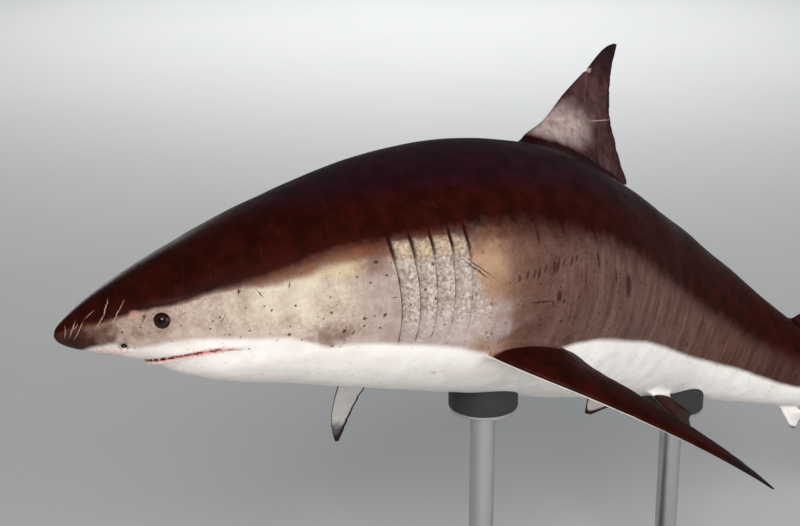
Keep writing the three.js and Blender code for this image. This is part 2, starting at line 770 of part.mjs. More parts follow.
const shark = new THREE.Group();
shark.add(
  ...headParts(),
  gillPart(),
  ...trunkParts(),
  ...eyeParts(),
  ...middleFinParts(),
  ...caudalParts(),
  ...pairedFinParts(),
  ...standParts(),
);

export default shark;
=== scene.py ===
"""A life-size great white shark on a display stand: its skin, eyes, teeth, stand and studio.

The animal is made straight first, in metres: x runs from the snout to the tip of the upper tail lobe,
y to the shark's right side and z up to its back. One skin joins the body and all fins. A spine curve,
the same as the solids', then bends and leans every piece into the pose.
"""
import math
from functools import partial

import bpy
import numpy as np
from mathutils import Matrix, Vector


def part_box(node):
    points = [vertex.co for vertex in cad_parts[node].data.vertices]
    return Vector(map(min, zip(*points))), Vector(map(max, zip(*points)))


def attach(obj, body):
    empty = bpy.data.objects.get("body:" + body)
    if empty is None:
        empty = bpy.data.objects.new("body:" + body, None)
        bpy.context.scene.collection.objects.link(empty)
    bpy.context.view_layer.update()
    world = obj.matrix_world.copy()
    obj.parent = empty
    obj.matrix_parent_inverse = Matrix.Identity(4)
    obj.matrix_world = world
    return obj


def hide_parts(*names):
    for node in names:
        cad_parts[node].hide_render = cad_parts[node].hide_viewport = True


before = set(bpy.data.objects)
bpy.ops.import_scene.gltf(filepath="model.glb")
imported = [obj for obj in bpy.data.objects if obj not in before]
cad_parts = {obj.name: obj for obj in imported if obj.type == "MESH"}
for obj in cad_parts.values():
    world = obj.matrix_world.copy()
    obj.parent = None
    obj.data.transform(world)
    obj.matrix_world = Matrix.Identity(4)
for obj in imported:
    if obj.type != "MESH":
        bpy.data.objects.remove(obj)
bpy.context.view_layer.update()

# ---- Sizes and pose, as in the solids ----------------------------------------------------------

LENGTH = 4.0
SNOUT = np.array([-1.485, -0.066, 1.650])
HEADING_START = -4.6
HEADING_TURNS = [(21.1, 0.05, 0.45), (-31.7, 0.35, 0.85)]
DIVE_START = -3.3
DIVE_TURNS = [(27.0, 0.08, 0.50), (4.1, 0.40, 0.75), (-12.0, 0.60, 0.92)]
LEAN = math.radians(12.2)
SPINE_STEPS = 400

# Body sections in per cent of the length: along, back, belly, half width, height of the widest line
SECTIONS = np.array([
    [0, 0, 0, 0, 0],
    [1, 1.15, 0.95, 1.2, 0],
    [3, 2.3, 1.75, 2.35, 0.1],
    [6, 3.6, 2.9, 3.7, 0.2],
    [10, 5.0, 4.6, 5.3, 0.1],
    [15, 6.5, 6.3, 6.8, -0.2],
    [20, 7.7, 7.6, 7.7, -0.4],
    [28, 9.2, 9.0, 8.7, -0.6],
    [37, 9.9, 9.5, 8.8, -0.4],
    [47, 9.1, 8.8, 7.8, 0],
    [60, 6.6, 6.5, 5.4, 0.3],
    [72, 3.9, 4.1, 3.2, 0.3],
    [80, 2.4, 2.2, 2.5, 0.1],
    [84, 1.75, 1.6, 1.9, 0],
    [88, 0.85, 0.85, 0.6, 0],
    [89.8, 0.3, 0.3, 0.2, 0],
])
BODY_END = 0.898
FLANK_ROUNDNESS = 2.1
BACK_ROUNDNESS = 2.05
KEEL_ROUNDNESS = 1.35
KEEL_SPAN = (0.70, 0.80)

MOUTH_FRONT = 0.053
MOUTH_CORNER = 0.104
MOUTH_LINE = [(0.03, -0.0270), (0.053, -0.0270), (0.075, -0.0250), (0.09, -0.0240), (0.104, -0.0252)]
MOUTH_GAP = (0.0032, 0.0008)
CHIN_DROP = 0.0045
CHIN_WIDTH = 0.036
CHIN_SWEEP = 0.030
CHIN_RISE = 0.010
CHIN_FADE = (0.085, 0.16)

EYE_ALONG = 0.0620
EYE_UP = 0.0020
EYE_RADIUS = 0.028
EYE_SINK = 0.020
NOSTRIL_ALONG = 0.0385
NOSTRIL_UP = -0.0110

# Gill slits: place along the body of the upper end, how far the slit leans back down to its lower end,
# and the heights of its two ends
GILLS = [
    (0.2030, 0.0022, 0.0255, -0.0400),
    (0.2160, 0.0002, 0.0310, -0.0410),
    (0.2285, -0.0023, 0.0300, -0.0400),
    (0.2405, -0.0030, 0.0285, -0.0400),
    (0.2510, -0.0010, 0.0270, -0.0380),
]

FLESH = [
    "head", "lower_jaw", "gill_region", "trunk_front", "trunk_rear", "tail_stalk",
    "first_dorsal_fin", "second_dorsal_fin", "anal_fin", "caudal_upper_lobe", "caudal_lower_lobe",
    "pectoral_fin_left", "pectoral_fin_right", "pelvic_fin_left", "pelvic_fin_right",
]


# ---- Curves and the spine ----------------------------------------------------------------------

def ease(x, start, end):
    """A step from 0 to 1 between two places, with no corner at either end: 6t^5 - 15t^4 + 10t^3."""
    t = np.clip((x - start) / (end - start), 0.0, 1.0)
    return t * t * t * (t * (6 * t - 15) + 10)


def bump(x, middle, width):
    """A bell of height 1 at the middle: e to the minus square of the distance over the width."""
    return np.exp(-((x - middle) / width) ** 2)


def through(points):
    """A function through (x, y) points that never overshoots: cubic pieces with Fritsch-Carlson slopes."""
    xs, ys = np.array(points, float).T
    step = np.diff(xs)
    rise = np.diff(ys) / step
    weight = 2 * step[1:] + step[:-1]
    other = step[1:] + 2 * step[:-1]
    same = rise[:-1] * rise[1:] > 0
    safe = np.where(same[:, None], np.stack([rise[:-1], rise[1:]], 1), 1.0)
    middle = np.where(same, (weight + other) / (weight / safe[:, 0] + other / safe[:, 1]), 0.0)
    slopes = np.concatenate([rise[:1], middle, rise[-1:]])

    def at(x):
        """The curve at x: each end of its piece, and each end's slope, weighed by a cubic."""
        i = np.clip(np.searchsorted(xs, x, side="left") - 1, 0, len(step) - 1)
        t = np.clip((x - xs[i]) / step[i], 0.0, 1.0)
        start = ys[i] * (1 + 2 * t) * (1 - t) ** 2 + slopes[i] * step[i] * t * (1 - t) ** 2
        end = ys[i + 1] * t * t * (3 - 2 * t) + slopes[i + 1] * step[i] * t * t * (t - 1)
        return start + end

    return at


def turned(start, turns, along):
    """An angle along the body in radians: the start plus each turn's share so far."""
    return np.radians(start + sum(by * ease(along, a, b) for by, a, b in turns))


def axes_at(along):
    """The body's directions at places along it: towards the tail, the back and the right side."""
    heading = turned(HEADING_START, HEADING_TURNS, along)
    dive = turned(DIVE_START, DIVE_TURNS, along)
    tailward = np.stack([np.cos(heading) * np.cos(dive), np.sin(heading) * np.cos(dive), -np.sin(dive)], -1)
    level = np.stack([-np.sin(heading), np.cos(heading), np.zeros_like(heading)], -1)
    upright = np.cross(tailward, level)
    up = upright * math.cos(LEAN) + level * math.sin(LEAN)
    side = level * math.cos(LEAN) - upright * math.sin(LEAN)
    return tailward, up, side


def spine_points():
    """Points along the spine: the snout, then short steps along the body's direction, summed."""
    middles = (np.arange(SPINE_STEPS) + 0.5) / SPINE_STEPS
    steps = axes_at(middles)[0] * (LENGTH / SPINE_STEPS)
    return SNOUT + np.concatenate([np.zeros((1, 3)), np.cumsum(steps, 0)])


SPINE = spine_points()


def posed(points):
    """Moves points of the straight animal into the pose: the spine's point there, plus their distance to
    the side along the side direction and their height along the up direction."""
    along = points[..., 0] / LENGTH
    inside = np.clip(along, 0.0, 1.0)
    tailward, up, side = axes_at(along)
    places = np.arange(SPINE_STEPS + 1) / SPINE_STEPS
    middle = np.stack([np.interp(inside, places, SPINE[:, k]) for k in range(3)], -1)
    beyond = ((along - inside) * LENGTH)[..., None]
    return middle + tailward * beyond + side * points[..., 1:2] + up * points[..., 2:3]


# ---- The straight body -------------------------------------------------------------------------

# The sections' curves run over the root of the place along, which keeps the snout's tip round
section_roots = np.sqrt(SECTIONS[:, 0] / 100)
section_curves = [through(np.stack([section_roots, SECTIONS[:, k] / 100], 1)) for k in range(1, 5)]
mouth_line = through(MOUTH_LINE)


def section_at(along):
    """Height of the back, depth of the belly, half width and widest height, in parts of the length."""
    root = np.sqrt(np.clip(along, 1e-6, BODY_END))
    return [curve(root) for curve in section_curves]


def flank_roundness(along):
    """The power of the sections' rounding: nearly a circle's, falling to a ridge at the tail's keels."""
    return FLANK_ROUNDNESS + (KEEL_ROUNDNESS - FLANK_ROUNDNESS) * ease(along, *KEEL_SPAN)


def chin_drop(along, side, up):
    """How far the jaw hangs below the line of the snout: a step that starts on a curve bowed forward."""
    front = MOUTH_FRONT - 0.003 + CHIN_SWEEP * (side / CHIN_WIDTH) ** 2
    starts = ease(along, front, front + CHIN_RISE)
    fades = 1 - ease(along, *CHIN_FADE)
    below = ease(mouth_line(along) - up, 0.0, 0.012)
    return CHIN_DROP * starts * fades * below


def half_width_at(along, up):
    """The half width of the body at a height, in parts of the length."""
    back, belly, width, middle = section_at(along)
    reach = np.where(up > middle, (up - middle) / (back - middle), (middle - up) / (belly + middle))
    inside = np.clip(1 - np.clip(reach, 0.0, 1.0) ** BACK_ROUNDNESS, 0.0, 1.0)
    return width * inside ** (1 / FLANK_ROUNDNESS)


def flank_point(along, up, hand):
    """A point of the body's plain side surface, in metres, on the left (-1) or right (1)."""
    return np.stack([along, hand * half_width_at(along, up), up + 0 * along], -1) * LENGTH


def flank_normal(along, up, hand):
    """Outward direction of the side surface: the cross product of its slopes along and up the body."""
    step = 1e-4
    down_body = flank_point(along + step, up, hand) - flank_point(along - step, up, hand)
    up_body = flank_point(along, up + step, hand) - flank_point(along, up - step, hand)
    normal = np.cross(up_body, down_body) * hand
    return normal / np.linalg.norm(normal, axis=-1, keepdims=True)


def height_over_body(points):
    """Rough distance of points over the plain body in metres: how much further out they lie than the
    section does in the same direction from its middle."""
    along = points[:, 0] / LENGTH
    back, belly, width, middle = section_at(along)
    up = points[:, 2] / LENGTH - middle
    side = np.abs(points[:, 1]) / LENGTH
    reach = np.where(up > 0, back - middle, belly + middle)
    level = (side / width) ** flank_roundness(along) + (np.abs(up) / reach) ** BACK_ROUNDNESS
    out = np.maximum(level, 1e-9) ** (-1 / BACK_ROUNDNESS)
    over = (1 - out) * np.hypot(side, up) * LENGTH
    return np.maximum(over, (along - BODY_END) * LENGTH)


NOISE_WAVES = 24


def noise_field(points, scale, seed):
    """Smooth random hills between about -1 and 1: a sum of sine waves in random directions, whose wave
    lengths lie round the scale in metres."""
    rng = np.random.default_rng(seed)
    waves = rng.normal(size=(NOISE_WAVES, 3))
    waves *= (2 * math.pi / scale) / np.linalg.norm(waves, axis=1, keepdims=True)
    waves *= rng.uniform(0.5, 1.6, (NOISE_WAVES, 1))
    phases = rng.uniform(0, 2 * math.pi, NOISE_WAVES)
    total = sum(np.sin(points @ wave + phase) for wave, phase in zip(waves, phases))
    return total * math.sqrt(2 / NOISE_WAVES) / 1.6


def spread(density, count, end):
    """Places from 0 to the end, closer where the density is higher: equal steps of its running sum."""
    fine = np.linspace(0.0, 1.0, 4001)
    total = np.concatenate([[0.0], np.cumsum(density((fine[1:] + fine[:-1]) / 2 * end))])
    return np.interp(np.linspace(0.0, total[-1], count), total, fine) * end


def station_density(along):
    """How close the rings stand: a base rate, plus bells round the snout, nostrils, eyes, mouth and gills."""
    head = 8 * np.exp(-along / 0.03) + 7 * bump(along, EYE_ALONG, 0.02) + 9 * bump(along, 0.085, 0.03)
    nose = 8 * bump(along, NOSTRIL_ALONG, 0.008)
    gills = 7 * bump(along, 0.228, 0.036) + sum(24 * bump(along, g[0] + 0.0004, 0.0016) for g in GILLS)
    return 2.4 + head + nose + gills + 2.5 * bump(along, 0.82, 0.02)


def angle_density(turn):
    """Closer steps down the flanks, where the eye, mouth and gills are."""
    flank = np.abs(np.mod(turn + 0.5, 1.0) - 0.5) * 2
    return 1.0 + 1.1 * bump(flank, 0.55, 0.16)


STATIONS = 340
SIDES = 176


def gill_down(up):
    """How far down a gill slit a height lies: 0 at its upper end and 1 at its lower end."""
    return np.clip((0.030 - up) / 0.070, -0.3, 1.4)


gill_lean = through([(0.17, 0.0)] + [(g[0], g[1]) for g in GILLS] + [(0.275, 0.0)])


def gill_bow(place, up):
    """How far behind its upper end a slit lies at a height: its lean down the slit, plus half a wave."""
    down = gill_down(up)
    return gill_lean(place) * down + 0.0016 * np.sin(math.pi * np.clip(down, 0, 1))


def gill_warp(ring, up):
    """Moves the grid's rings so that one follows each slit."""
    by_the_gills = ease(ring, 0.185, 0.2) * (1 - ease(ring, 0.255, 0.275))
    return by_the_gills * gill_bow(ring, up)


FLAP_RISE = 0.0038
FLAP_FALL = 0.0065


def gill_relief(ring, up):
    """Each flap rises towards its rear edge by e to the distance, then the skin steps down behind it."""
    relief = np.zeros_like(up)
    for place, _, top, bottom in GILLS:
        behind = (ring - place) * LENGTH
        ends = ease(up, bottom - 0.004, bottom + 0.012) * (1 - ease(up, top - 0.006, top + 0.003))
        flap = FLAP_RISE * np.exp(np.minimum(behind, 0.0) / 0.020) * (behind <= 0.0005)
        pit = -FLAP_FALL * np.exp(-np.maximum(behind, 0.0) / 0.0075) * (behind > 0.0005)
        relief = relief + ends * (flap + pit)
    return relief


def head_relief(along, up):
    """The nostril's raised flap and the fold that runs back and down from the corner of the mouth."""
    slant = (up - NOSTRIL_UP) * LENGTH - 0.35 * (along - NOSTRIL_ALONG) * LENGTH
    length = (along - NOSTRIL_ALONG) * LENGTH
    flap = 0.0025 * bump(slant, 0.0085, 0.0045) * bump(length, 0.002, 0.012)
    fold_line = mouth_line(np.minimum(along, 0.112)) - 0.35 * np.maximum(along - MOUTH_CORNER, 0.0)
    fold = -0.0030 * bump((up - fold_line) * LENGTH, 0.0, 0.004) * ease(along, 0.100, 0.104)
    fold = fold * (1 - ease(along, 0.106, 0.116))
    brow = 0.0030 * bump((along - 0.060) * LENGTH, 0.0, 0.075) * bump((up - 0.0150) * LENGTH, 0.0, 0.016)
    return flap + fold + brow


def lip_relief(along, up):
    """The upper lip's soft roll over the mouth, and a shallow hollow over that."""
    over = (up - mouth_line(along)) * LENGTH
    by_the_mouth = ease(along, 0.060, 0.072) * (1 - ease(along, 0.102, 0.118))
    return by_the_mouth * (0.0028 * bump(over, 0.010, 0.009) - 0.0022 * bump(over, 0.034, 0.013))


def tail_relief(along, turn_up):
    """The notch across the top and bottom of the tail stalk just before the fin."""
    return -0.007 * bump(along, 0.8150, 0.0045) * ease(np.abs(turn_up), 0.55, 0.85)


def normals_of(grid):
    """Outward directions of a grid of rings: the cross product of its two runs of neighbours."""
    along = np.gradient(grid, axis=0)
    around = (np.roll(grid, -1, 1) - np.roll(grid, 1, 1)) / 2
    normal = np.cross(around, along)
    normal /= np.maximum(np.linalg.norm(normal, axis=-1, keepdims=True), 1e-12)
    outward = np.sign((normal * (grid - grid.mean(1, keepdims=True))).sum())
    return normal * outward


# The unevenness of the flesh behind the snout: broad hills, and ripples drawn out along the body
HILL_HEIGHT = 0.0018
HILL_LENGTH = 0.34
RIPPLE_HEIGHT = 0.0006
RIPPLE_LENGTH = 0.10


def body_grid():
    """The body as rings of points: each section is a rounded oval, its side being the half width times the
    sine, and its height the back or belly times the cosine, of the turn, each to its own power."""
    ring = spread(station_density, STATIONS, BODY_END)
    ring[0] = 1e-4
    turn = spread(angle_density, SIDES + 1, 1.0)[:-1] * 2 * math.pi
    ring, turn = np.meshgrid(ring, turn, indexing="ij")
    upright = np.cos(turn)
    across = np.sin(turn)

    def surface(along):
        """The section's side and height at each place along, in parts of the length."""
        back, belly, width, middle = section_at(along)
        side = width * np.sign(across) * np.abs(across) ** (2 / flank_roundness(along))
        reach = np.where(upright > 0, back - middle, belly + middle)
        up = middle + reach * np.sign(upright) * np.abs(upright) ** (2 / BACK_ROUNDNESS)
        return side, up - chin_drop(along, side, up)

    side, up = surface(ring)
    along = ring + gill_warp(ring, up)
    side, up = surface(along)
    grid = np.stack([along, side, up], -1) * LENGTH
    flank = ease(np.abs(side), 0.018, 0.034)
    relief = gill_relief(ring, up) * flank + head_relief(along, up) + lip_relief(along, up) * flank
    relief = relief + tail_relief(along, upright)
    hills = HILL_HEIGHT * noise_field(grid, HILL_LENGTH, 5)
    ripples = RIPPLE_HEIGHT * noise_field(grid * [0.6, 1, 1], RIPPLE_LENGTH, 6)
    relief = relief + hills * ease(along, 0.02, 0.12)
    relief = relief + ripples * ease(along, 0.02, 0.12)
    return grid + normals_of(grid) * relief[..., None]


# ---- Fins --------------------------------------------------------------------------------------

FIN_EDGE = 0.0011 / LENGTH


def foil(t):
    """Half thickness of a fin section at a part of its chord: round in front and thin behind."""
    return 5 * (0.2969 * np.sqrt(t) - 0.126 * t - 0.3516 * t ** 2 + 0.2843 * t ** 3 - 0.1015 * t ** 4)


def fin_heights(start, end, rows, both):
    """Heights of a fin's rings, closer at the tip, or at both tips of a tail fin."""
    steps = np.linspace(0.0, 1.0, rows)
    if both:
        return start + (end - start) * (0.5 - 0.5 * np.cos(math.pi * steps))
    return start + (end - start) * (1 - (1 - steps) ** 1.35)


def blade(place, front, rear, thickness, start, end, rows, chord, seed, ragged=0.0,
          flare=(0, 0, 1), nicks=()):
    """A fin as rings of points. Each ring is a foil section between the front and rear edges at its height.
    Its thickness falls to nothing at the tip as (1 - climb) to 0.8, and swells at the root by e to the
    minus height. Small nicks notch the front edge, and random notches nibble the rear edge."""
    both = start < -0.05
    height = fin_heights(start, end, rows, both)
    climb = np.where(height > 0, height / end, height / start) if both else (height - start) / (end - start)
    root, gain, fall = flare
    thick = thickness * np.clip(1 - climb, 0.0, 1.0) ** 0.8
    thick = thick * (1 + gain * np.exp(-np.maximum(height - root, 0.0) / fall))
    t = (1 - np.cos(np.linspace(0.0, math.pi, chord))) / 2
    t = np.concatenate([t, t[::-1]])
    face = np.concatenate([np.ones(chord), -np.ones(chord)])
    fore = through(front)(height)
    fore = fore + sum(depth * bump(height, at, wide) for at, wide, depth in nicks)
    aft = np.maximum(through(rear)(height), fore + 4 * FIN_EDGE)
    spots = np.stack([height * LENGTH, np.zeros(rows), np.zeros(rows)], -1)
    notch = np.clip(noise_field(spots, 0.05, seed + 40) - 0.15, 0.0, 1.0)
    notch = notch + 0.6 * np.clip(noise_field(spots, 0.018, seed + 41) - 0.35, 0.0, 1.0)
    aft = aft - ragged * notch * np.clip(climb * 4, 0, 1) * np.clip((aft - fore) / 0.02, 0, 1)
    along = fore[:, None] + (aft - fore)[:, None] * t
    off = face * (thick[:, None] * foil(t) + FIN_EDGE)
    return place(along, np.broadcast_to(height[:, None], along.shape), off) * LENGTH


def upright_place(along, height, off):
    """A fin on the back or tail: its height runs up."""
    return np.stack([along, off, height], -1)


def hanging_place(along, height, off):
    """A fin under the tail: its height runs down."""
    return np.stack([along, off, -height], -1)


def paired_place(hand, root_side, root_up, droop, sag):
    """A paired fin leaves the body at a slope and bends down towards its tip, by the square of its reach."""
    slope = math.radians(droop)

    def place(along, height, off):
        """The fin's height turned down by the slope, and its thickness across that."""
        lowered = off - sag * height * height
        side = root_side + height * math.cos(slope) + lowered * math.sin(slope)
        up = root_up - height * math.sin(slope) + lowered * math.cos(slope)
        return np.stack([along, hand * side, up], -1)

    return place


def paired_unplace(points, root_side, root_up, droop, sag):
    """The height and the offset from its middle sheet of points of a paired fin: the way back."""
    slope = math.radians(droop)
    side = np.abs(points[:, 1]) / LENGTH - root_side
    up = points[:, 2] / LENGTH - root_up
    height = side * math.cos(slope) - up * math.sin(slope)
    return height, side * math.sin(slope) + up * math.cos(slope) + sag * height * height


FIRST_DORSAL = dict(
    front=[(0.080, 0.352), (0.0985, 0.3685), (0.1038, 0.3728), (0.1231, 0.3964), (0.1483, 0.4160),
           (0.177, 0.4405), (0.2028, 0.4610), (0.2075, 0.4680)],
    rear=[(0.080, 0.4750), (0.0915, 0.4760), (0.0965, 0.5045), (0.1120, 0.4937), (0.1305, 0.4825),
          (0.142, 0.4755), (0.164, 0.4700), (0.182, 0.4685), (0.2075, 0.4712)],
    thickness=0.0140, start=0.080, end=0.2075, rows=84, chord=26, ragged=0.0009, flare=(0.096, 2.2, 0.010),
    seed=1, nicks=[(0.1760, 0.0012, 0.0018)],
)
SECOND_DORSAL = dict(
    front=[(0.026, 0.704), (0.0385, 0.716), (0.0475, 0.7275), (0.0545, 0.7355)],
    rear=[(0.026, 0.733), (0.0365, 0.7335), (0.0395, 0.7520), (0.0460, 0.7420), (0.0545, 0.7395)],
    thickness=0.0050, start=0.026, end=0.0545, rows=28, chord=12, seed=2,
)
ANAL = dict(
    front=[(0.024, 0.724), (0.0375, 0.736), (0.0460, 0.7475), (0.0530, 0.7560)],
    rear=[(0.024, 0.752), (0.0345, 0.7525), (0.0370, 0.7700), (0.0440, 0.7610), (0.0530, 0.7600)],
    thickness=0.0048, start=0.024, end=0.053, rows=28, chord=12, seed=3,
)
CAUDAL = dict(
    front=[(-0.140, 0.939), (-0.120, 0.918), (-0.085, 0.886), (-0.045, 0.853), (-0.017, 0.828), (0, 0.802),
           (0.018, 0.826), (0.045, 0.862), (0.085, 0.915), (0.120, 0.962), (0.143, 0.993), (0.148, 0.9985)],
    rear=[(-0.140, 0.943), (-0.120, 0.936), (-0.085, 0.919), (-0.045, 0.906), (-0.017, 0.904), (0, 0.902),
          (0.018, 0.908), (0.045, 0.919), (0.085, 0.948), (0.115, 0.978), (0.1235, 0.988), (0.126, 0.9835),
          (0.136, 0.996), (0.148, 1.0)],
    thickness=0.0145, start=-0.140, end=0.148, rows=140, chord=20, ragged=0.0012, seed=4,
)
PECTORAL = dict(
    front=[(-0.030, 0.2560), (0, 0.2680), (0.030, 0.2830), (0.070, 0.3120), (0.110, 0.3480), (0.145, 0.3880),
           (0.166, 0.4180)],
    rear=[(-0.030, 0.3270), (0, 0.3280), (0.012, 0.3520), (0.030, 0.3480), (0.070, 0.3620), (0.110, 0.3850),
          (0.145, 0.4100), (0.166, 0.4230)],
    thickness=0.0130, start=-0.030, end=0.166, rows=84, chord=24, ragged=0.0012, flare=(-0.004, 0.7, 0.010),
    seed=5, nicks=[(0.092, 0.0012, 0.0012)],
)
PECTORAL_PLACE = (0.066, -0.054, 24, 0.9)
PELVIC = dict(
    front=[(-0.020, 0.5300), (0, 0.5420), (0.020, 0.5560), (0.038, 0.5720)],
    rear=[(-0.020, 0.5820), (0, 0.5830), (0.007, 0.6020), (0.020, 0.5900), (0.038, 0.5800)],
    thickness=0.0065, start=-0.020, end=0.038, rows=34, chord=14, ragged=0.0006, seed=6,
)
PELVIC_PLACE = (0.030, -0.070, 38, 0.5)


def fin_grids():
    """All eight fins: four in the middle plane, and a pectoral and a pelvic fin on each side."""
    grids = [
        blade(upright_place, **FIRST_DORSAL),
        blade(upright_place, **SECOND_DORSAL),
        blade(hanging_place, **ANAL),
        blade(upright_place, **CAUDAL),
    ]
    for hand in (-1, 1):
        grids.append(blade(paired_place(hand, *PECTORAL_PLACE), **PECTORAL))
        grids.append(blade(paired_place(hand, *PELVIC_PLACE), **PELVIC))
    return grids


# ---- Mouth, eyes, nostrils and gill slits ------------------------------------------------------

def lip_front():
    """Where the mouth's line meets the underside of the snout."""
    along = np.linspace(0.048, 0.060, 2401)
    _, belly, _, _ = section_at(along)
    return along[np.argmax(belly > -mouth_line(along))]


LIP_FRONT = lip_front()


def lip_line(q):
    """The edge of the mouth from the left corner (-1) round the front (0) to the right corner (1): the
    section's outline at the mouth's height. Gives points, the level direction inwards, and the half gap."""
    fine = np.linspace(-1.0, 1.0, 801)
    along = LIP_FRONT + (MOUTH_CORNER - LIP_FRONT) * fine ** 2
    up = mouth_line(along)
    side = np.sign(fine) * half_width_at(along, up)
    line = np.stack([along, side, up], -1) * LENGTH
    run = np.gradient(line, axis=0)
    inward = np.stack([run[:, 1], -run[:, 0], np.zeros(len(run))], -1)
    inward /= np.linalg.norm(inward, axis=1, keepdims=True)
    part = (along - LIP_FRONT) / (MOUTH_CORNER - LIP_FRONT)
    half = (MOUTH_GAP[0] + (MOUTH_GAP[1] - MOUTH_GAP[0]) * part) / 2 * LENGTH
    half = half * np.sqrt(np.clip(1 - part ** 6, 0.02, 1.0))
    pick = [np.interp(q, fine, values) for values in (*line.T, *inward.T, half)]
    return np.stack(pick[:3], -1), np.stack(pick[3:6], -1), pick[6]


MOUTH_DEPTH_AT_CORNER = 0.012
MOUTH_MORE_DEPTH_IN_FRONT = 0.034
MOUTH_OPEN_OUTWARDS = 0.030


def mouth_cutter():
    """The space between the jaws, carried round the lips: as high as the gap, open outwards, and ending
    inwards in a rounded wall, deepest in front by one minus the place round the lips to the fourth."""
    q = np.linspace(-1.0, 1.0, 121)
    point, inward, half = lip_line(q)
    deep = MOUTH_DEPTH_AT_CORNER + MOUTH_MORE_DEPTH_IN_FRONT * (1 - q ** 4)
    wide = MOUTH_OPEN_OUTWARDS * (1 + bump(q, 0.0, 0.4))
    turn = np.linspace(-math.pi / 2, math.pi / 2, 9)
    reach = np.concatenate([[-1.0, -0.3], np.zeros(9), [-0.3, -1.0]])
    into = np.concatenate([[0, 0], 0.55 + 0.45 * np.cos(turn), [0, 0]])
    rise = np.concatenate([[-1, -1], np.sin(turn), [1, 1]])
    out = (reach * wide[:, None] + into * deep[:, None])[..., None]
    grid = point[:, None] + inward[:, None] * out
    grid[..., 2] += rise * half[:, None]
    return grid


# How far the gums and the teeth stand in from the lip, on the upper jaw (True) and on the lower
GUM_INSET = {True: 0.0075, False: 0.0125}
TOOTH_INSET = {True: 0.0090, False: 0.0135}
GUM_RADIUS = 0.0052


def gum_grid(upper):
    """A roll of gum along a jaw: an oval tube set in from the lip and half sunk in the jaw, swollen a
    little between the teeth."""
    q = np.linspace(-0.96, 0.96, 181)
    point, inward, half = lip_line(q)
    inset = GUM_INSET[upper] * (1 - 0.45 * np.abs(q) ** 3)
    size = GUM_RADIUS * (1 - 0.45 * np.abs(q) ** 4)
    swell = 1 + 0.10 * np.cos(q * TEETH_PER_ROW * math.pi)
    turn = np.linspace(0, 2 * math.pi, 13)[:-1]
    across = np.cos(turn) * (1.2 * size * swell)[:, None]
    height = np.sin(turn) * (size * swell)[:, None]
    grid = point[:, None] + inward[:, None] * (inset[:, None] + across)[..., None]
    grid[..., 2] += (1 if upper else -1) * (half[:, None] + 0.0012) + height
    return grid


TEETH_PER_ROW = 18
TOOTH_ROW_PART = 0.82
TOOTH_SMALLEST = 0.45
TOOTH_WIDTH = 0.017
TOOTH_DEPTH = 0.005
TOOTH_ROOT = 0.004
TOOTH_PART_OF_GAP = 0.8


def teeth_grids(upper):
    """Teeth as rings of points: a flat oval section that narrows to a point as (1 - climb) to 0.85, in
    equal steps round the lips, leaning a little inwards. The lower ones are narrower."""
    fine = np.linspace(-1.0, 1.0, 801)
    line, _, _ = lip_line(fine)
    run = np.concatenate([[0.0], np.cumsum(np.linalg.norm(np.diff(line, axis=0), axis=1))])
    middle = (np.arange(TEETH_PER_ROW) + 0.5) / TEETH_PER_ROW - 0.5
    q = np.interp((0.5 + middle * TOOTH_ROW_PART) * run[-1], run, fine)
    point, inward, half = lip_line(q)
    along = np.cross(inward, [0.0, 0.0, 1.0])
    size = 1 - (1 - TOOTH_SMALLEST) * np.abs(2 * middle) ** 1.5
    sign = -1.0 if upper else 1.0
    climb = np.linspace(0.0, 1.0, 11)[:, None]
    turn = np.linspace(0, 2 * math.pi, 17)[:-1]
    q, half, size = (values[:, None, None] for values in (q, half, size))
    point, inward, along = (values[:, None, None] for values in (point, inward, along))
    wide = TOOTH_WIDTH / 2 * size * (1.0 if upper else 0.72)
    tall = 2 * half * TOOTH_PART_OF_GAP + TOOTH_ROOT
    shape = np.clip(1 - climb, 0.004, 1) ** (0.85 if upper else 0.95)
    lean = 0.10 * tall * climb ** 2 * np.sign(q + 1e-9) * (1 if upper else 0.2)
    inset = TOOTH_INSET[upper] * (1 - 0.35 * np.abs(q) ** 3)
    level = wide * shape * np.cos(turn) - lean
    depth = inset + TOOTH_DEPTH / 2 * size * shape ** 0.8 * np.sin(turn) + 0.0015 * climb
    grids = point + along * level[..., None] + inward * depth[..., None]
    grids[..., 2] = point[..., 2] - sign * (half + TOOTH_ROOT) + sign * tall * climb
    return list(grids)


def eye_frame(hand):
    """The eye's middle, its outward direction, and two directions across it."""
    surface = flank_point(np.array(EYE_ALONG), np.array(EYE_UP), hand)
    out = flank_normal(np.array(EYE_ALONG), np.array(EYE_UP), hand)
    tailward = np.array([1.0, 0.0, 0.0])
    tailward -= out * (tailward @ out)
    tailward /= np.linalg.norm(tailward)
    return surface - out * EYE_SINK, out, tailward, np.cross(out, tailward)


def ball(middle, out, across, upward, radii, rings, sides):
    """An oval ball as rings of points about its outward direction."""
    polar = np.linspace(0.0, math.pi, rings + 2)[1:-1, None, None]
    turn = np.linspace(0, 2 * math.pi, sides + 1)[:-1, None]
    wide, tall, deep = radii
    circle = np.cos(turn) * across * wide + np.sin(turn) * upward * tall
    return middle + np.sin(polar) * circle + np.cos(polar) * out * deep


# The eyelid's section in mm: distance from the eye's axis, and height over the head's surface
LID_PROFILE = [(0.2, -6), (18.5, -5), (20.0, -2.0), (20.5, 0.3), (21.3, 1.9), (22.8, 2.7), (24.6, 2.5),
               (26.6, 1.4), (28.8, 0.2), (31.5, -1.6), (34.0, -4.5), (34.5, -9), (33.0, -13), (0.2, -13)]


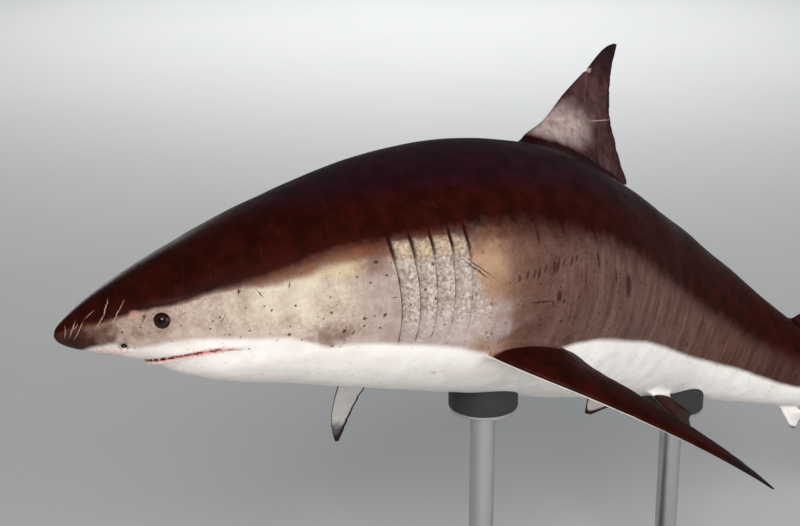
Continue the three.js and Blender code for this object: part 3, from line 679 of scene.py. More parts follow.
def lid_grid(hand):
    """The eyelid, a ring of soft skin round the eye: it follows the head's surface at each distance from
    the eye and stands over it by the profile, with fine folds below and behind."""
    steps = np.concatenate([[0.0], np.cumsum(np.linalg.norm(np.diff(LID_PROFILE, axis=0), axis=1))])
    places = np.linspace(0.0, steps[-1], 64)
    reach, height = (np.interp(places, steps, values)[:, None] / 1000 for values in zip(*LID_PROFILE))
    turn = np.linspace(0, 2 * math.pi, 97)[None, :-1]
    folded = 0.00080 * np.sin(reach / 0.0030 * 2 * math.pi) * ease(reach, 0.0240, 0.0265)
    folded = folded * (0.35 + 0.65 * ease(np.cos(turn + 0.9), -0.6, 0.6)) * (height > -0.002)
    along = EYE_ALONG + reach * np.cos(turn) / LENGTH
    up = EYE_UP + reach * np.sin(turn) / LENGTH
    heavy = 1 + 0.25 * np.sin(turn) * (height > 0)
    over = (height * heavy + folded)[..., None]
    return flank_point(along, up, hand) + flank_normal(along, up, hand) * over


def nostril_grid(hand):
    """The nostril's hole: an oval ball across the skin, bent down at both ends by its length squared."""
    place = np.array(NOSTRIL_ALONG), np.array(NOSTRIL_UP)
    surface = flank_point(*place, hand)
    out = flank_normal(*place, hand)
    across = np.array([1.0, 0.0, 0.30])
    across -= out * (across @ out)
    across /= np.linalg.norm(across)
    upward = np.cross(out, across)
    upward *= np.sign(upward[2])
    grid = ball(surface - out * 0.001 - upward * 0.002, out, across, upward, (0.0085, 0.0098, 0.012), 22, 36)
    length = (grid - surface) @ across
    return grid - upward * (length[..., None] ** 2) / 0.024


SLIT_WIDTH = 0.0046
SLIT_DEPTH = 0.018
SLIT_STEPS = 36
# The six corners of a slit's section: the height over the skin in metres, or as a share of the depth
# where it is below; the share of the depth that it leans ahead; and the share of the half width
SLIT_LIFT = np.array([0.014, 0.014, -0.2, -1.0, -1.0, -0.2])
SLIT_LEAN = np.array([0.0, 0.0, 0.15, 0.75, 0.75, 0.15])
SLIT_FACE = np.array([-1, 1, 1, 0.5, -0.5, -1])


def slit_grid(gill, hand):
    """A thin blade that cuts a gill slit: it runs down the flank and in under the flap ahead of it, and its
    width and depth thin at both ends as the root of 4 t (1 - t)."""
    place, _, top, bottom = gill
    up = np.linspace(top, bottom, SLIT_STEPS)
    along = place + gill_bow(np.full(SLIT_STEPS, place), up)
    point, out = flank_point(along, up, hand), flank_normal(along, up, hand)
    run = np.gradient(point, axis=0)
    run /= np.linalg.norm(run, axis=1, keepdims=True)
    ahead = np.cross(run, out)
    ahead *= np.sign(-ahead[:, :1])
    part = np.linspace(0.0, 1.0, SLIT_STEPS)[:, None]
    taper = np.sqrt(np.clip(4 * part * (1 - part), 0.0, 1.0))
    wide = SLIT_WIDTH / 2 * (0.12 + 0.88 * taper)
    deep = SLIT_DEPTH * (0.15 + 0.85 * taper)
    height = np.where(SLIT_LIFT > 0, SLIT_LIFT, SLIT_LIFT * deep)
    shift = SLIT_LEAN * deep + SLIT_FACE * wide - 0.0016
    return point[:, None] + (out[:, None] * height[..., None] + ahead[:, None] * shift[..., None])


# ---- Meshes ------------------------------------------------------------------------------------

def closed_rings(grid):
    """Points and faces of a closed body from rings of points: quads between neighbours round each ring,
    and a fan to the middle of the first and last ring. Faces turn outwards, by the sign of the volume."""
    rings, sides = grid.shape[:2]
    points = np.concatenate([grid.reshape(-1, 3), grid[0].mean(0)[None], grid[-1].mean(0)[None]])
    r, k = np.meshgrid(np.arange(rings - 1), np.arange(sides), indexing="ij")
    a = r * sides + k
    b = r * sides + (k + 1) % sides
    quads = np.stack([a, b, b + sides, a + sides], -1).reshape(-1, 4)
    k = np.arange(sides)
    following = (k + 1) % sides
    first = np.stack([np.full(sides, rings * sides), following, k], -1)
    last = (rings - 1) * sides
    end = np.stack([np.full(sides, rings * sides + 1), last + k, last + following], -1)
    triangles = np.concatenate([first, end])
    corners = points[np.concatenate([triangles, quads[:, :3], quads[:, [0, 2, 3]]])] - points[0]
    volume = np.einsum("ij,ij->i", corners[:, 0], np.cross(corners[:, 1], corners[:, 2])).sum()
    if volume < 0:
        quads, triangles = quads[:, ::-1], triangles[:, ::-1]
    return points, quads, triangles


def mesh_from(name, grids):
    """One mesh from closed bodies of rings of points."""
    points, loops, sizes, base = [], [], [], 0
    for part_points, quads, triangles in map(closed_rings, grids):
        points.append(part_points)
        loops += [(quads + base).ravel(), (triangles + base).ravel()]
        sizes += [np.full(len(quads), 4), np.full(len(triangles), 3)]
        base += len(part_points)
    points, loops, sizes = np.concatenate(points), np.concatenate(loops), np.concatenate(sizes)
    mesh = bpy.data.meshes.new(name)
    mesh.vertices.add(len(points))
    mesh.vertices.foreach_set("co", points.astype(np.float32).ravel())
    mesh.loops.add(len(loops))
    mesh.loops.foreach_set("vertex_index", loops.astype(np.int32))
    mesh.polygons.add(len(sizes))
    mesh.polygons.foreach_set("loop_start", np.concatenate([[0], np.cumsum(sizes)[:-1]]).astype(np.int32))
    mesh.update(calc_edges=True)
    mesh.shade_smooth()
    thing = bpy.data.objects.new(name, mesh)
    bpy.context.collection.objects.link(thing)
    return thing


def points_of(thing):
    """A mesh's points as an array."""
    points = np.empty(len(thing.data.vertices) * 3, np.float32)
    thing.data.vertices.foreach_get("co", points)
    return points.reshape(-1, 3).astype(float)


def set_points(thing, points):
    """Moves a mesh's points to new places."""
    thing.data.vertices.foreach_set("co", points.astype(np.float32).ravel())
    thing.data.update()


def edges_of(thing):
    """The numbers of the two points of each edge of a mesh."""
    edges = np.empty(len(thing.data.edges) * 2, np.int32)
    thing.data.edges.foreach_get("vertices", edges)
    return edges.reshape(-1, 2).T


def keys_of(points):
    """One whole number for each point, the same for points within a hundredth of a millimetre."""
    cells = np.round(points * 1e5).astype(np.int64) + (1 << 20)
    return (cells[:, 0] << 42) | (cells[:, 1] << 21) | cells[:, 2]


def combine(thing, other, operation):
    """Joins another closed mesh to this one, or cuts it out."""
    modifier = thing.modifiers.new("combine", "BOOLEAN")
    modifier.operation = operation
    modifier.solver = "MANIFOLD"
    modifier.object = other
    finished = bpy.data.meshes.new_from_object(thing.evaluated_get(bpy.context.evaluated_depsgraph_get()))
    thing.modifiers.clear()
    thing.data = finished


def cut_or_join(thing, grids, operation):
    """Joins closed bodies of rings to a mesh, or cuts them out, and says which points are new edges."""
    tool = mesh_from("tool", grids)
    known = np.concatenate([keys_of(points_of(thing)), keys_of(points_of(tool))])
    combine(thing, tool, operation)
    bpy.data.objects.remove(tool)
    return ~np.isin(keys_of(points_of(thing)), known)


def way_from(thing, starts, limit):
    """The distance of each point along the mesh's edges from the starting points, up to a limit."""
    points = points_of(thing)
    a, b = edges_of(thing)
    length = np.linalg.norm(points[a] - points[b], axis=1)
    way = np.where(starts, 0.0, limit)
    for _ in range(200):
        shorter = way.copy()
        np.minimum.at(shorter, a, way[b] + length)
        np.minimum.at(shorter, b, way[a] + length)
        if np.array_equal(shorter, way):
            break
        way = shorter
    return way


def soften(thing, strength, rounds):
    """Moves each point part of the way to the middle of its neighbours, by its strength, several times."""
    a, b = edges_of(thing)
    points = points_of(thing)
    count = np.maximum(np.bincount(a, minlength=len(points)) + np.bincount(b, minlength=len(points)), 1)
    for _ in range(rounds):
        total = np.stack([
            np.bincount(a, points[b, k], len(points)) + np.bincount(b, points[a, k], len(points))
            for k in range(3)], -1)
        points += strength[:, None] * (total / count[:, None] - points)
    set_points(thing, points)


def round_off(thing, edge, strength, near, far, rounds):
    """Rounds new edges: softens the mesh at full strength up to the near distance from them, and less and
    less to nothing at the far one."""
    way = way_from(thing, edge, far)
    soften(thing, strength * (1 - ease(way, near, far)), rounds)


def add_field(thing, name, values):
    """Keeps a number for each point of a mesh, for its material to read."""
    attribute = thing.data.attributes.new(name, "FLOAT_VECTOR" if values.ndim == 2 else "FLOAT", "POINT")
    attribute.data.foreach_set("vector" if values.ndim == 2 else "value", values.astype(np.float32).ravel())


def nearest_on(line, points):
    """The nearest point of a line for each point: how far it is, and its number. In parts, to save memory."""
    way, number = np.empty(len(points)), np.empty(len(points), int)
    for start in range(0, len(points), 20000):
        part = slice(start, start + 20000)
        away = np.linalg.norm(points[part, None] - line, axis=2)
        way[part], number[part] = away.min(1), away.argmin(1)
    return way, number


# ---- Skin --------------------------------------------------------------------------------------

def make_skin():
    """Joins the fins and eyelids to the body, cuts the mouth, eye sockets, nostrils and gill slits, adds
    the gums, and rounds each new edge over its own reach in metres."""
    thing = mesh_from("skin", [body_grid()])
    edge = cut_or_join(thing, fin_grids(), "UNION")
    round_off(thing, edge, 0.55, 0.008, 0.060, 18)
    edge = cut_or_join(thing, [lid_grid(-1), lid_grid(1)], "UNION")
    round_off(thing, edge, 0.5, 0.0, 0.007, 5)
    sockets = [ball(*eye_frame(hand), [EYE_RADIUS + 0.0004] * 3, 46, 96) for hand in (-1, 1)]
    holes = [mouth_cutter(), *sockets, nostril_grid(-1), nostril_grid(1)]
    edge = cut_or_join(thing, holes, "DIFFERENCE")
    points = points_of(thing)
    jaw = points[:, 0] < 0.46
    jaw[jaw] = nearest_on(lip_line(np.linspace(-1, 1, 161))[0], points[jaw])[0] < 0.03
    round_off(thing, edge & jaw, 0.5, 0.001, 0.007, 4)
    round_off(thing, edge & ~jaw, 0.4, 0.0, 0.0018, 2)
    slits = [slit_grid(gill, hand) for hand in (-1, 1) for gill in GILLS]
    edge = cut_or_join(thing, slits, "DIFFERENCE")
    round_off(thing, edge, 0.45, 0.0, 0.004, 2)
    cut_or_join(thing, [gum_grid(True), gum_grid(False)], "UNION")
    return thing


# Where the dark back ends on the flank, how soft that edge is, and where the white belly begins
dark_line = through([
    (0, 0.0015), (0.010, 0.0045), (0.020, 0.0055), (0.030, 0.0065), (0.040, 0.0080), (0.050, 0.0095),
    (0.058, 0.0100), (0.070, 0.0106), (0.080, 0.0120), (0.090, 0.0142), (0.100, 0.0158), (0.120, 0.0182),
    (0.140, 0.0212), (0.160, 0.0256), (0.180, 0.0289), (0.198, 0.0284), (0.207, 0.0296), (0.252, 0.0298),
    (0.289, 0.0262), (0.320, 0.0238), (0.364, 0.0212), (0.400, 0.0180), (0.437, 0.0140), (0.480, 0.0090),
    (0.550, 0.0050), (0.700, 0.0025), (0.880, 0)])
dark_soft = through([
    (0, 0.0026), (0.05, 0.0022), (0.10, 0.0028), (0.15, 0.0054), (0.20, 0.0062), (0.26, 0.0115),
    (0.30, 0.0190), (0.36, 0.0160), (0.42, 0.0120), (0.55, 0.0100), (0.88, 0.0100)])
white_line = through([
    (0, -0.0200), (0.010, -0.0150), (0.020, -0.0105), (0.030, -0.0098), (0.040, -0.0118), (0.048, -0.0146),
    (0.060, -0.0138), (0.070, -0.0130), (0.080, -0.0135), (0.090, -0.0150), (0.100, -0.0165),
    (0.110, -0.0182), (0.120, -0.0195), (0.130, -0.0210), (0.140, -0.0238), (0.150, -0.0290),
    (0.160, -0.0340), (0.180, -0.0360), (0.206, -0.0405), (0.250, -0.0500), (0.290, -0.0600),
    (0.330, -0.0590), (0.380, -0.0500), (0.450, -0.0430), (0.550, -0.0360), (0.650, -0.0240),
    (0.720, -0.0180), (0.800, -0.0105), (0.840, -0.0130), (0.880, -0.0240)])
WHITE_SOFT = 0.0028

# Soft patches of colour on the flank: the middle along and up, and the reach along and up
PATCHES = {
    "cream": [(0.140, 0.004, 0.042, 0.017)],
    "yellow": [(0.228, 0.020, 0.030, 0.0080), (0.172, 0.016, 0.024, 0.009)],
    "blotch": [(0.163, -0.0260, 0.020, 0.0110), (0.192, 0.017, 0.014, 0.012)],
}

# Raw spots on the left of the lips: the place along of each, and its reach in metres
RAW_SPOTS = [(0.0923, 0.0125), (0.0832, 0.0120), (0.0775, 0.0090), (0.0700, 0.0060), (0.0640, 0.0045)]

# For each fin: how dark its upper face is, how white, and from where to where its tip turns dusky
FIN_SHADES = {
    "dorsal": (0.2, -3.0, 0.72, 0.97),
    "second": (1.2, -3.0, 0.90, 1.00),
    "anal": (0.2, 0.3, 0.90, 1.00),
    "caudal": (1.6, -3.0, 0.90, 1.00),
    "pectoral": (1.1, -3.0, 0.72, 0.97),
    "pelvic": (0.7, -3.0, 0.90, 1.00),
}


def window(x, low, high, soft):
    """1 between two places, falling softly to 0 on both sides."""
    return ease(x, low - soft, low + soft) * (1 - ease(x, high - soft, high + soft))


def gill_fields(points):
    """How near a slit each point lies, the dark wedge behind each slit's upper end, the flaps' area, and a
    soft band beside each slit on the flaps. All but the area are painted shade.
    """
    along, up = points[:, 0] / LENGTH, points[:, 2] / LENGTH
    flank = (np.abs(points[:, 1]) > 0.1) & (up < 0.05)
    deep = ease(-height_over_body(points), 0.0045, 0.0090)
    slit_shade, wedge, fold = (np.zeros_like(up) for _ in range(3))
    narrow = ease(up, -0.002, 0.026)
    for (place, _, top, bottom), weight in zip(GILLS, (1.0, 0.85, 0.80, 0.70, 0.62)):
        behind = along - place - gill_bow(np.full_like(up, place), up)
        ends = ease(up, bottom - 0.002, bottom + 0.004) * (1 - ease(up, top - 0.001, top + 0.003))
        near = bump(behind * LENGTH, 0.0004, 0.0030 + 0.0006 * weight)
        slit_shade = np.maximum(slit_shade, ends * np.maximum(weight * near, deep * (np.abs(behind) < 0.0055)))
        wedge = np.maximum(wedge, narrow * bump(behind, 0.0010, 0.0005 + 0.0020 * narrow))
        fold = np.maximum(fold, bump(behind, 0.0016, 0.0050) * ends)
    first = GILLS[0][0] + gill_bow(np.full_like(up, GILLS[0][0]), up)
    last = 0.252 + 0.9 * np.clip(-0.004 - up, 0, 0.030)
    area = ease(along - first, -0.0005, 0.0015) * (1 - ease(along, last - 0.014, last + 0.016))
    area = area * window(up, -0.048, 0.029, 0.005) * (0.45 + 0.55 * ease(up, -0.040, -0.012))
    return slit_shade * flank, wedge * flank, area * flank, fold * area * flank


def mouth_fields(points):
    """How far into the mouth each point lies, how near a gum, and the raw red spots on the lips."""
    q = np.linspace(-1.0, 1.0, 241)
    line, inward, half = lip_line(q)
    along, up = points[:, 0] / LENGTH, points[:, 2] / LENGTH
    near = np.flatnonzero((along > 0.040) & (along < 0.112) & (np.abs(up + 0.026) < 0.012))
    _, closest = nearest_on(line[:, :2], points[near, :2])
    offset = points[near] - line[closest]
    depth = (offset * inward[closest]).sum(1)
    high = np.abs(offset[:, 2]) - half[closest]
    inside, gum, red, lips = (np.zeros(len(points)) for _ in range(4))
    inside[near] = ease(depth, 0.003, 0.014) * (1 - ease(high, 0.001, 0.004))
    gum[near] = ease(depth, -0.0005, 0.004) * (1 - ease(depth, 0.016, 0.026))
    gum[near] *= 1 - ease(high, 0.0015, 0.005)
    left = points[near, 1] < 0
    for place, size in RAW_SPOTS:
        away = np.hypot((along[near] - place) * LENGTH / 1.4, offset[:, 2] - 0.004)
        red[near] = np.maximum(red[near], left * bump(away, 0, size) * ease(depth, -0.012, -0.004))
    lips[near] = bump(offset[:, 2], 0.001, 0.012) * window(along[near], 0.058, 0.104, 0.006)
    return inside, gum, red, lips


def fin_fields(points):
    """For each point: how far it is onto a fin, how far out along it, and its part of the fin's chord."""
    along, side, up = points.T / LENGTH
    over = height_over_body(points)
    onto = ease(over, 0.004, 0.030)
    foot = ease(over, 0.0, 0.040)
    fields = {}

    def note(name, chosen, fin, height, off, onto=onto):
        """Keeps one fin's fields: its height over its reach, and the place between its two edges."""
        both = fin["start"] < -0.05
        climb = np.clip(height / np.where((height > 0) | (not both), fin["end"], fin["start"]), 0, 1)
        fore, aft = through(fin["front"])(height), through(fin["rear"])(height)
        chord = np.clip((along - fore) / (aft - fore + 1e-6), 0, 1)
        fields[name] = (onto * chosen, climb, chord, off)

    note("dorsal", (along > 0.33) & (along < 0.53) & (up > 0.06), FIRST_DORSAL, up, side, foot)
    note("second", (along > 0.69) & (along < 0.77) & (up > 0), SECOND_DORSAL, up, side)
    note("anal", (along > 0.71) & (along < 0.79) & (up < 0), ANAL, -up, side)
    note("caudal", along > 0.805, CAUDAL, up, side)
    beside = (along > 0.24) & (along < 0.44) & (up < -0.03) & (np.abs(side) > 0.05)
    note("pectoral", beside, PECTORAL, *paired_unplace(points, *PECTORAL_PLACE))
    below = (along > 0.51) & (along < 0.61) & (up < -0.04)
    note("pelvic", below, PELVIC, *paired_unplace(points, *PELVIC_PLACE))
    return fields


def eye_fields(points):
    """How far each point is from the nearer eye's middle, and the pale painted highlight on the wet rim of
    the lid below and ahead of it.
    """
    near, rim = np.full(len(points), 9.0), np.zeros(len(points))
    for hand in (-1, 1):
        middle, out, across, upward = eye_frame(hand)
        local = points - middle
        near = np.minimum(near, np.linalg.norm(local, axis=1))
        level, high = local @ across, local @ upward
        turn = np.arctan2(high * np.sign(upward[2]), level)
        ring = bump(np.hypot(level, high), 0.0200, 0.0018) * (local @ out > 0)
        rim = np.maximum(rim, ring * ease(np.cos(turn - math.radians(-130)), 0.35, 0.75))
    return near, rim


def nostril_fields(points):
    """The painted shade in the nostril's hole and in the hollow round it, and the raw rim under it."""
    nostrils = [flank_point(np.array(NOSTRIL_ALONG), np.array(NOSTRIL_UP), hand) for hand in (-1, 1)]
    away = np.minimum(*[np.linalg.norm((points - nostril) * [0.7, 1, 1], axis=1) for nostril in nostrils])
    hole = ease(-height_over_body(points), 0.0008, 0.0030) * (away < 0.013)
    raw_rim = bump(away, 0.0130, 0.0045) * ease(NOSTRIL_UP * LENGTH - points[:, 2], 0.0, 0.006)
    return np.maximum(hole, 0.55 * bump(away, 0, 0.016)), raw_rim


def skin_fields(points):
    """Every number that the skin's colours follow, worked out on the straight animal."""
    along, up = points[:, 0] / LENGTH, points[:, 2] / LENGTH
    slit_shade, wedge, area, fold = gill_fields(points)
    inside, gum, red, lips = mouth_fields(points)
    eye, rim = eye_fields(points)
    nostril, raw_rim = nostril_fields(points)
    fins = fin_fields(points)
    dark = (up - dark_line(along)) / dark_soft(along)
    # Painted shade: behind each slit's upper end the dark back's colour reaches down in a wedge
    dark = np.where(wedge > 0.05, np.maximum(dark, -2.2 + 3.0 * wedge), dark)
    over_white = up - white_line(along)
    white = -over_white / WHITE_SOFT
    tip, edge = np.zeros_like(up), np.zeros_like(up)
    for name, (mask, climb, chord, off) in fins.items():
        top_dark, top_white, dusky, full = FIN_SHADES[name]
        under = ease(-off, 0.0002, 0.0014) if name in ("pectoral", "pelvic") else 0 * up
        dark = dark + mask * (top_dark - 4.0 * under - dark)
        white = white + mask * (top_white + 6.0 * under - white)
        tip = np.maximum(tip, mask * ease(climb, dusky, full))
        edge = np.maximum(edge, mask * ease(chord, 0.80, 0.97) * (1 - under))
    dorsal, _, chord, _ = fins["dorsal"]
    pale = dorsal * bump(along, 0.410 + (up - 0.12) * 0.6, 0.040) * bump(up, 0.121, 0.024)
    pale = pale * (1 - ease(chord, 0.45, 0.95)) * ease(up, 0.096, 0.112)
    broad = window(along, 0.110, 0.270, 0.030)
    warm_share = 0.55 + 0.45 * ease(along, 0.06, 0.12) - 0.70 * ease(along, 0.245, 0.295)
    warm_share = warm_share - 0.2 * ease(along, 0.34, 0.46)
    patches = {}
    for name, spots in PATCHES.items():
        bells = [bump(along, at, wide) * bump(up, high, tall) for at, high, wide, tall in spots]
        patches[name] = np.max(bells, 0)
    return patches | {
        "dark": dark,
        "white": white,
        "grey": (1 - ease(over_white, 0.0, 0.016)) * window(along, 0.035, 0.20, 0.02),
        "mauve": bump(along + up * 0.2, 0.192, 0.015) * (1 - ease(up, 0.004, 0.022)),
        "golden": bump(along + 0.3 * up, 0.266, 0.017) * bump(up, 0.010, 0.020),
        "warm": ease(dark, -1.2 - 1.8 * broad, 0.1 - 0.2 * broad) * warm_share,
        "veil": bump(along - 0.2 * up, 0.250, 0.056) * bump(up, -0.036, 0.026) * ease(along, 0.203, 0.207),
        "gills": area,
        "gilltop": area * ease(up, 0.002, 0.024),
        # Painted shade: a soft darker band beside each gill slit on the flaps
        "fold": fold,
        # Painted shade in and right round each gill slit
        "slit_shade": slit_shade,
        "dorsal": dorsal,
        "pale": pale,
        # Painted reflection: a purple sheen of the sky along the top of the back, off the first dorsal fin
        "top": ease(up, 0.040, 0.080) * (1 - dorsal),
        "blush": np.maximum(bump(along, 0.030, 0.018) * ease(-over_white, -0.001, 0.002), 1.1 * lips),
        "tip": tip,
        "edge": edge,
        "inside": inside,
        "gum": gum,
        "red": np.maximum(red, 0.62 * raw_rim),
        # Painted shade: darker rings where the lid meets the eyeball and in the socket round it
        "lid": bump(eye, EYE_RADIUS + 0.0006, 0.0016),
        "socket": ease(-(eye - EYE_RADIUS - 0.0010), 0.0, 0.0008),
        # Painted highlight: a pale rim of the lid below and ahead of each eye, catching the light
        "rim": rim,
        # Painted shade in the nostril's hole and the hollow round it
        "nostril": nostril,
    }


def make_eye(hand, name):
    """The eyeball: a ball with a slightly raised clear front, its colours following the way from its axis."""
    middle, out, across, upward = eye_frame(hand)
    grid = ball(middle, out, across, upward, [EYE_RADIUS] * 3, 62, 96)
    thing = mesh_from(name, [grid])
    points = points_of(thing)
    from_axis = np.linalg.norm(np.cross(points - middle, out), axis=1)
    front = (points - middle) @ out
    points += out * (0.0010 * (1 - ease(from_axis, 0.006, 0.018)) * (front > 0))[:, None]
    set_points(thing, points)
    add_field(thing, "from_axis", np.where(front > 0, from_axis, EYE_RADIUS))
    spoke = np.stack([(points - middle) @ across, (points - middle) @ upward, front], -1)
    add_field(thing, "spoke", spoke / np.maximum(from_axis, 1e-4)[:, None])
    return thing


def finish_flesh(thing, material):
    """Keeps the straight places for the material, then bends the piece into the pose."""
    points = points_of(thing)
    add_field(thing, "rest", points)
    set_points(thing, posed(points))
    thing.data.shade_smooth()
    thing.data.materials.clear()
    thing.data.materials.append(material)
    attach(thing, "root")


# ---- Materials ---------------------------------------------------------------------------------

def colour(code):
    """A colour's hex value turned linear: c / 12.92 below 0.04045, else ((c + 0.055) / 1.055) to 2.4."""
    parts = [int(code[k:k + 2], 16) / 255 for k in (0, 2, 4)]
    return (*[c / 12.92 if c <= 0.04045 else ((c + 0.055) / 1.055) ** 2.4 for c in parts], 1.0)


def add_node(tree, kind, *given, output=None, stops=None, **settings):
    """Adds a node with its settings, links or fills its inputs, and gives back one of its outputs. The
    inputs come in the node's own order, or by name. A Map Range reads a value, the two ends that it comes
    from and the two that it goes to; a noise its place, scale, detail and roughness; a Mix the share of
    its second input, then the two."""
    node = tree.nodes.new("ShaderNode" + kind)
    for name, value in settings.items():
        setattr(node, name, value)
    if stops:
        ramp = node.color_ramp.elements
        while len(ramp) < len(stops):
            ramp.new(1.0)
        for stop, (place, shade) in zip(ramp, stops):
            stop.position = place
            stop.color = colour(shade)
    sockets = [socket for socket in node.inputs if socket.enabled]
    inputs = dict(enumerate(value for value in given if not isinstance(value, dict)))
    for named in given:
        inputs.update(named if isinstance(named, dict) else {})
    for key, value in inputs.items():
        socket = sockets[key] if isinstance(key, int) else next(s for s in sockets if s.name == key)
        if isinstance(value, bpy.types.NodeSocket):
            tree.links.new(value, socket)
        else:
            socket.default_value = value
    outputs = [socket for socket in node.outputs if socket.enabled]
    if output is None:
        return outputs[0] if outputs else None
    return next(s for s in outputs if s.name == output)


def new_material(name):
    """An empty material, and the function that adds nodes to it."""
    material = bpy.data.materials.new(name)
    material.use_nodes = True
    material.node_tree.nodes.clear()
    return material, partial(add_node, material.node_tree)


MM = 0.001

# The skin's colours along the flank, from the snout to the tail
FLANK = [
    (0.000, "361e1a"), (0.010, "402722"), (0.020, "4c322a"), (0.030, "6f5950"), (0.042, "a18d83"),
    (0.062, "b5a39a"), (0.085, "bbaca2"), (0.110, "c0b3a6"), (0.150, "c7bbac"), (0.175, "bdafa3"),
    (0.200, "aa9b91"), (0.207, "b1a69e"), (0.250, "b3a69c"), (0.257, "ad9079"), (0.270, "9d7c64"),
    (0.287, "7a5c51"), (0.310, "73564d"), (0.360, "786058"), (0.600, "6b4f46"), (0.800, "432b27"),
    (1.000, "321f1c"),
]

# Layers of colour over it, in order: the field that each follows, the grain in mm that roughens its edge
# and by how much, the field's values where it starts and is full, its strength, the grain in mm that mixes
# its two colours, and the colours
LAYERS = [
    ("grey", 60, 0.40, 0.25, 0.95, 0.45, 60, "c9bcb4", "bcaca2"),
    ("cream", 60, 0.50, 0.25, 0.95, 0.55, 60, "d2cabb", "c5baa8"),
    ("yellow", 60, 0.60, 0.30, 0.95, 0.50, 60, "c8b891", "b49a6c"),
    ("mauve", 60, 0.60, 0.25, 0.95, 0.65, 25, "b0a09a", "96847e"),
    ("blotch", 25, 0.70, 0.32, 1.10, 0.85, 25, "7a5e56", "664c45"),
    ("golden", 60, 0.50, 0.25, 0.95, 0.70, 60, "b3937a", "9c7a5c"),
    ("warm", 60, 0.60, 0.27, 1.10, 0.92, 60, "6c3c24", "4b2214"),
    ("veil", 60, 0.60, 0.30, 1.10, 0.75, 25, "b8aca8", "a29694"),
    ("gills", 25, 0.60, 0.30, 0.95, 0.85, 8, "c8beb7", "807269"),
    ("gilltop", 25, 0.70, 0.32, 1.10, 0.60, 8, "cdb692", "9c7c55"),
    # Painted shade: a soft darker band beside each gill slit on the flaps
    ("fold", 25, 0.60, 0.28, 1.00, 0.52, 8, "918379", "6b5d55"),
    ("dorsal", 60, 0.10, 0.06, 0.95, 1.00, 60, "735857", "5c4545"),
    ("dark", 25, 0.45, -0.85, 0.85, 1.00, 60, "300b06", "200602"),
    # Painted reflection: the sky's purple sheen along the top of the back
    ("top", 60, 0.30, 0.20, 0.95, 0.75, 60, "260f1d", "1b0a14"),
    ("pale", 60, 0.30, 0.20, 1.00, 0.95, 25, "b5a49d", "94807c"),
    ("edge", 25, 0.30, 0.30, 0.90, 0.50, 60, "2b1b1e", "1f1315"),
    ("white", 300, 1.20, -0.90, 0.90, 1.00, 60, "ebe7e3", "e1dbd6"),
    ("blush", 8, 0.90, 0.40, 1.00, 0.70, 8, "d6aaa5", "ecdad5"),
    ("tip", 25, 0.35, 0.22, 0.95, 0.85, 60, "231619", "191011"),
    # Painted shade in and right round each gill slit
    ("slit_shade", 25, 0.50, 0.28, 0.85, 0.92, 8, "321a15", "1c0d0b"),
    ("gum", 8, 0.60, 0.30, 0.80, 0.80, 8, "d6a8a2", "c28a84"),
    ("inside", 25, 0.25, 0.25, 0.75, 0.95, 60, "7c4341", "5c2a2b"),
    ("red", 8, 0.95, 0.45, 0.90, 0.88, 8, "7c1f22", "b0605c"),
    # Painted shade: darker rings where the lid meets the eyeball and in the socket round it
    ("lid", 8, 0.20, 0.25, 0.80, 0.55, 8, "6e5650", "4b3733"),
    ("socket", 8, 0.10, 0.30, 0.70, 0.90, 8, "2b1713", "20100e"),
    # Painted highlight: a pale rim of the lid below and ahead of each eye, catching the light
    ("rim", 8, 0.15, 0.25, 0.65, 0.90, 8, "e2d3cc", "cdb9b1"),
    # Painted shade in the nostril's hole and the hollow round it
    ("nostril", 8, 0.10, 0.20, 0.70, 0.96, 8, "1d0b0a", "2a1210"),
]

# Marks on the left side: place along, height, turn in degrees, half length and half width in mm
PALE_MARKS = [
    (0.0058, 0.0029, 78, 13, 0.8), (0.0103, 0.0042, 60, 18, 1.0), (0.0138, 0.0030, 58, 22, 0.8),
    (0.0122, 0.0050, 50, 9, 0.7), (0.0317, 0.0144, 60, 22, 0.9), (0.0265, 0.0068, 49, 15, 0.8),
    (0.0384, 0.0117, 52, 25, 0.9), (0.0351, 0.0068, 35, 11, 0.7), (0.0220, 0.0120, 35, 14, 0.6),
    (0.4080, 0.1262, 12, 24, 2.6), (0.4250, 0.1243, -8, 20, 3.2), (0.4600, 0.1392, 18, 55, 1.6),
    (0.3968, 0.1240, 40, 12, 4.0), (0.4412, 0.1762, 45, 9, 6.0), (0.4180, 0.1210, -30, 14, 3.0),
]
DARK_MARKS = [
    (0.0517, 0.0043, 48, 9, 1.1), (0.0978, -0.0023, 50, 14, 0.9), (0.0760, 0.0047, 24, 6, 0.8),
    (0.1096, 0.0135, 74, 11, 1.1), (0.1217, 0.0098, -62, 15, 1.1), (0.1270, -0.0021, 70, 4.5, 2.2),
    (0.1232, 0.0013, 0, 2.6, 2.2), (0.1412, -0.0017, 0, 3.0, 2.4), (0.1400, 0.0120, 70, 7, 1.6),
    (0.1128, -0.0133, 0, 3.0, 2.2), (0.0913, -0.0030, 20, 2.2, 1.8), (0.1008, -0.0140, 0, 2.4, 1.8),
    (0.1073, -0.0167, 0, 2.0, 1.8), (0.1123, -0.0260, 0, 2.2, 2.0), (0.1931, 0.0173, 0, 5.0, 3.8),
    (0.1981, 0.0080, 0, 3.6, 2.8), (0.1876, 0.0047, 0, 3.0, 2.2), (0.1951, -0.0180, 40, 5.0, 2.8),
    (0.1921, -0.0263, 0, 3.2, 2.4), (0.1696, -0.0243, 80, 4.6, 3.4), (0.2019, -0.0072, 0, 6.5, 1.0),
    (0.2547, 0.0042, -42, 42, 2.0), (0.2575, 0.0050, -41, 42, 1.6), (0.4031, -0.0060, -80, 36, 15.0),
    (0.3091, -0.0226, 2, 40, 2.4), (0.3190, -0.0245, -70, 10, 3.0), (0.3240, -0.0190, -80, 14, 8.0),
    (0.3620, 0.0090, -85, 22, 4.0), (0.3840, -0.0020, -85, 16, 4.0), (0.3050, 0.0260, -85, 30, 4.0),
]
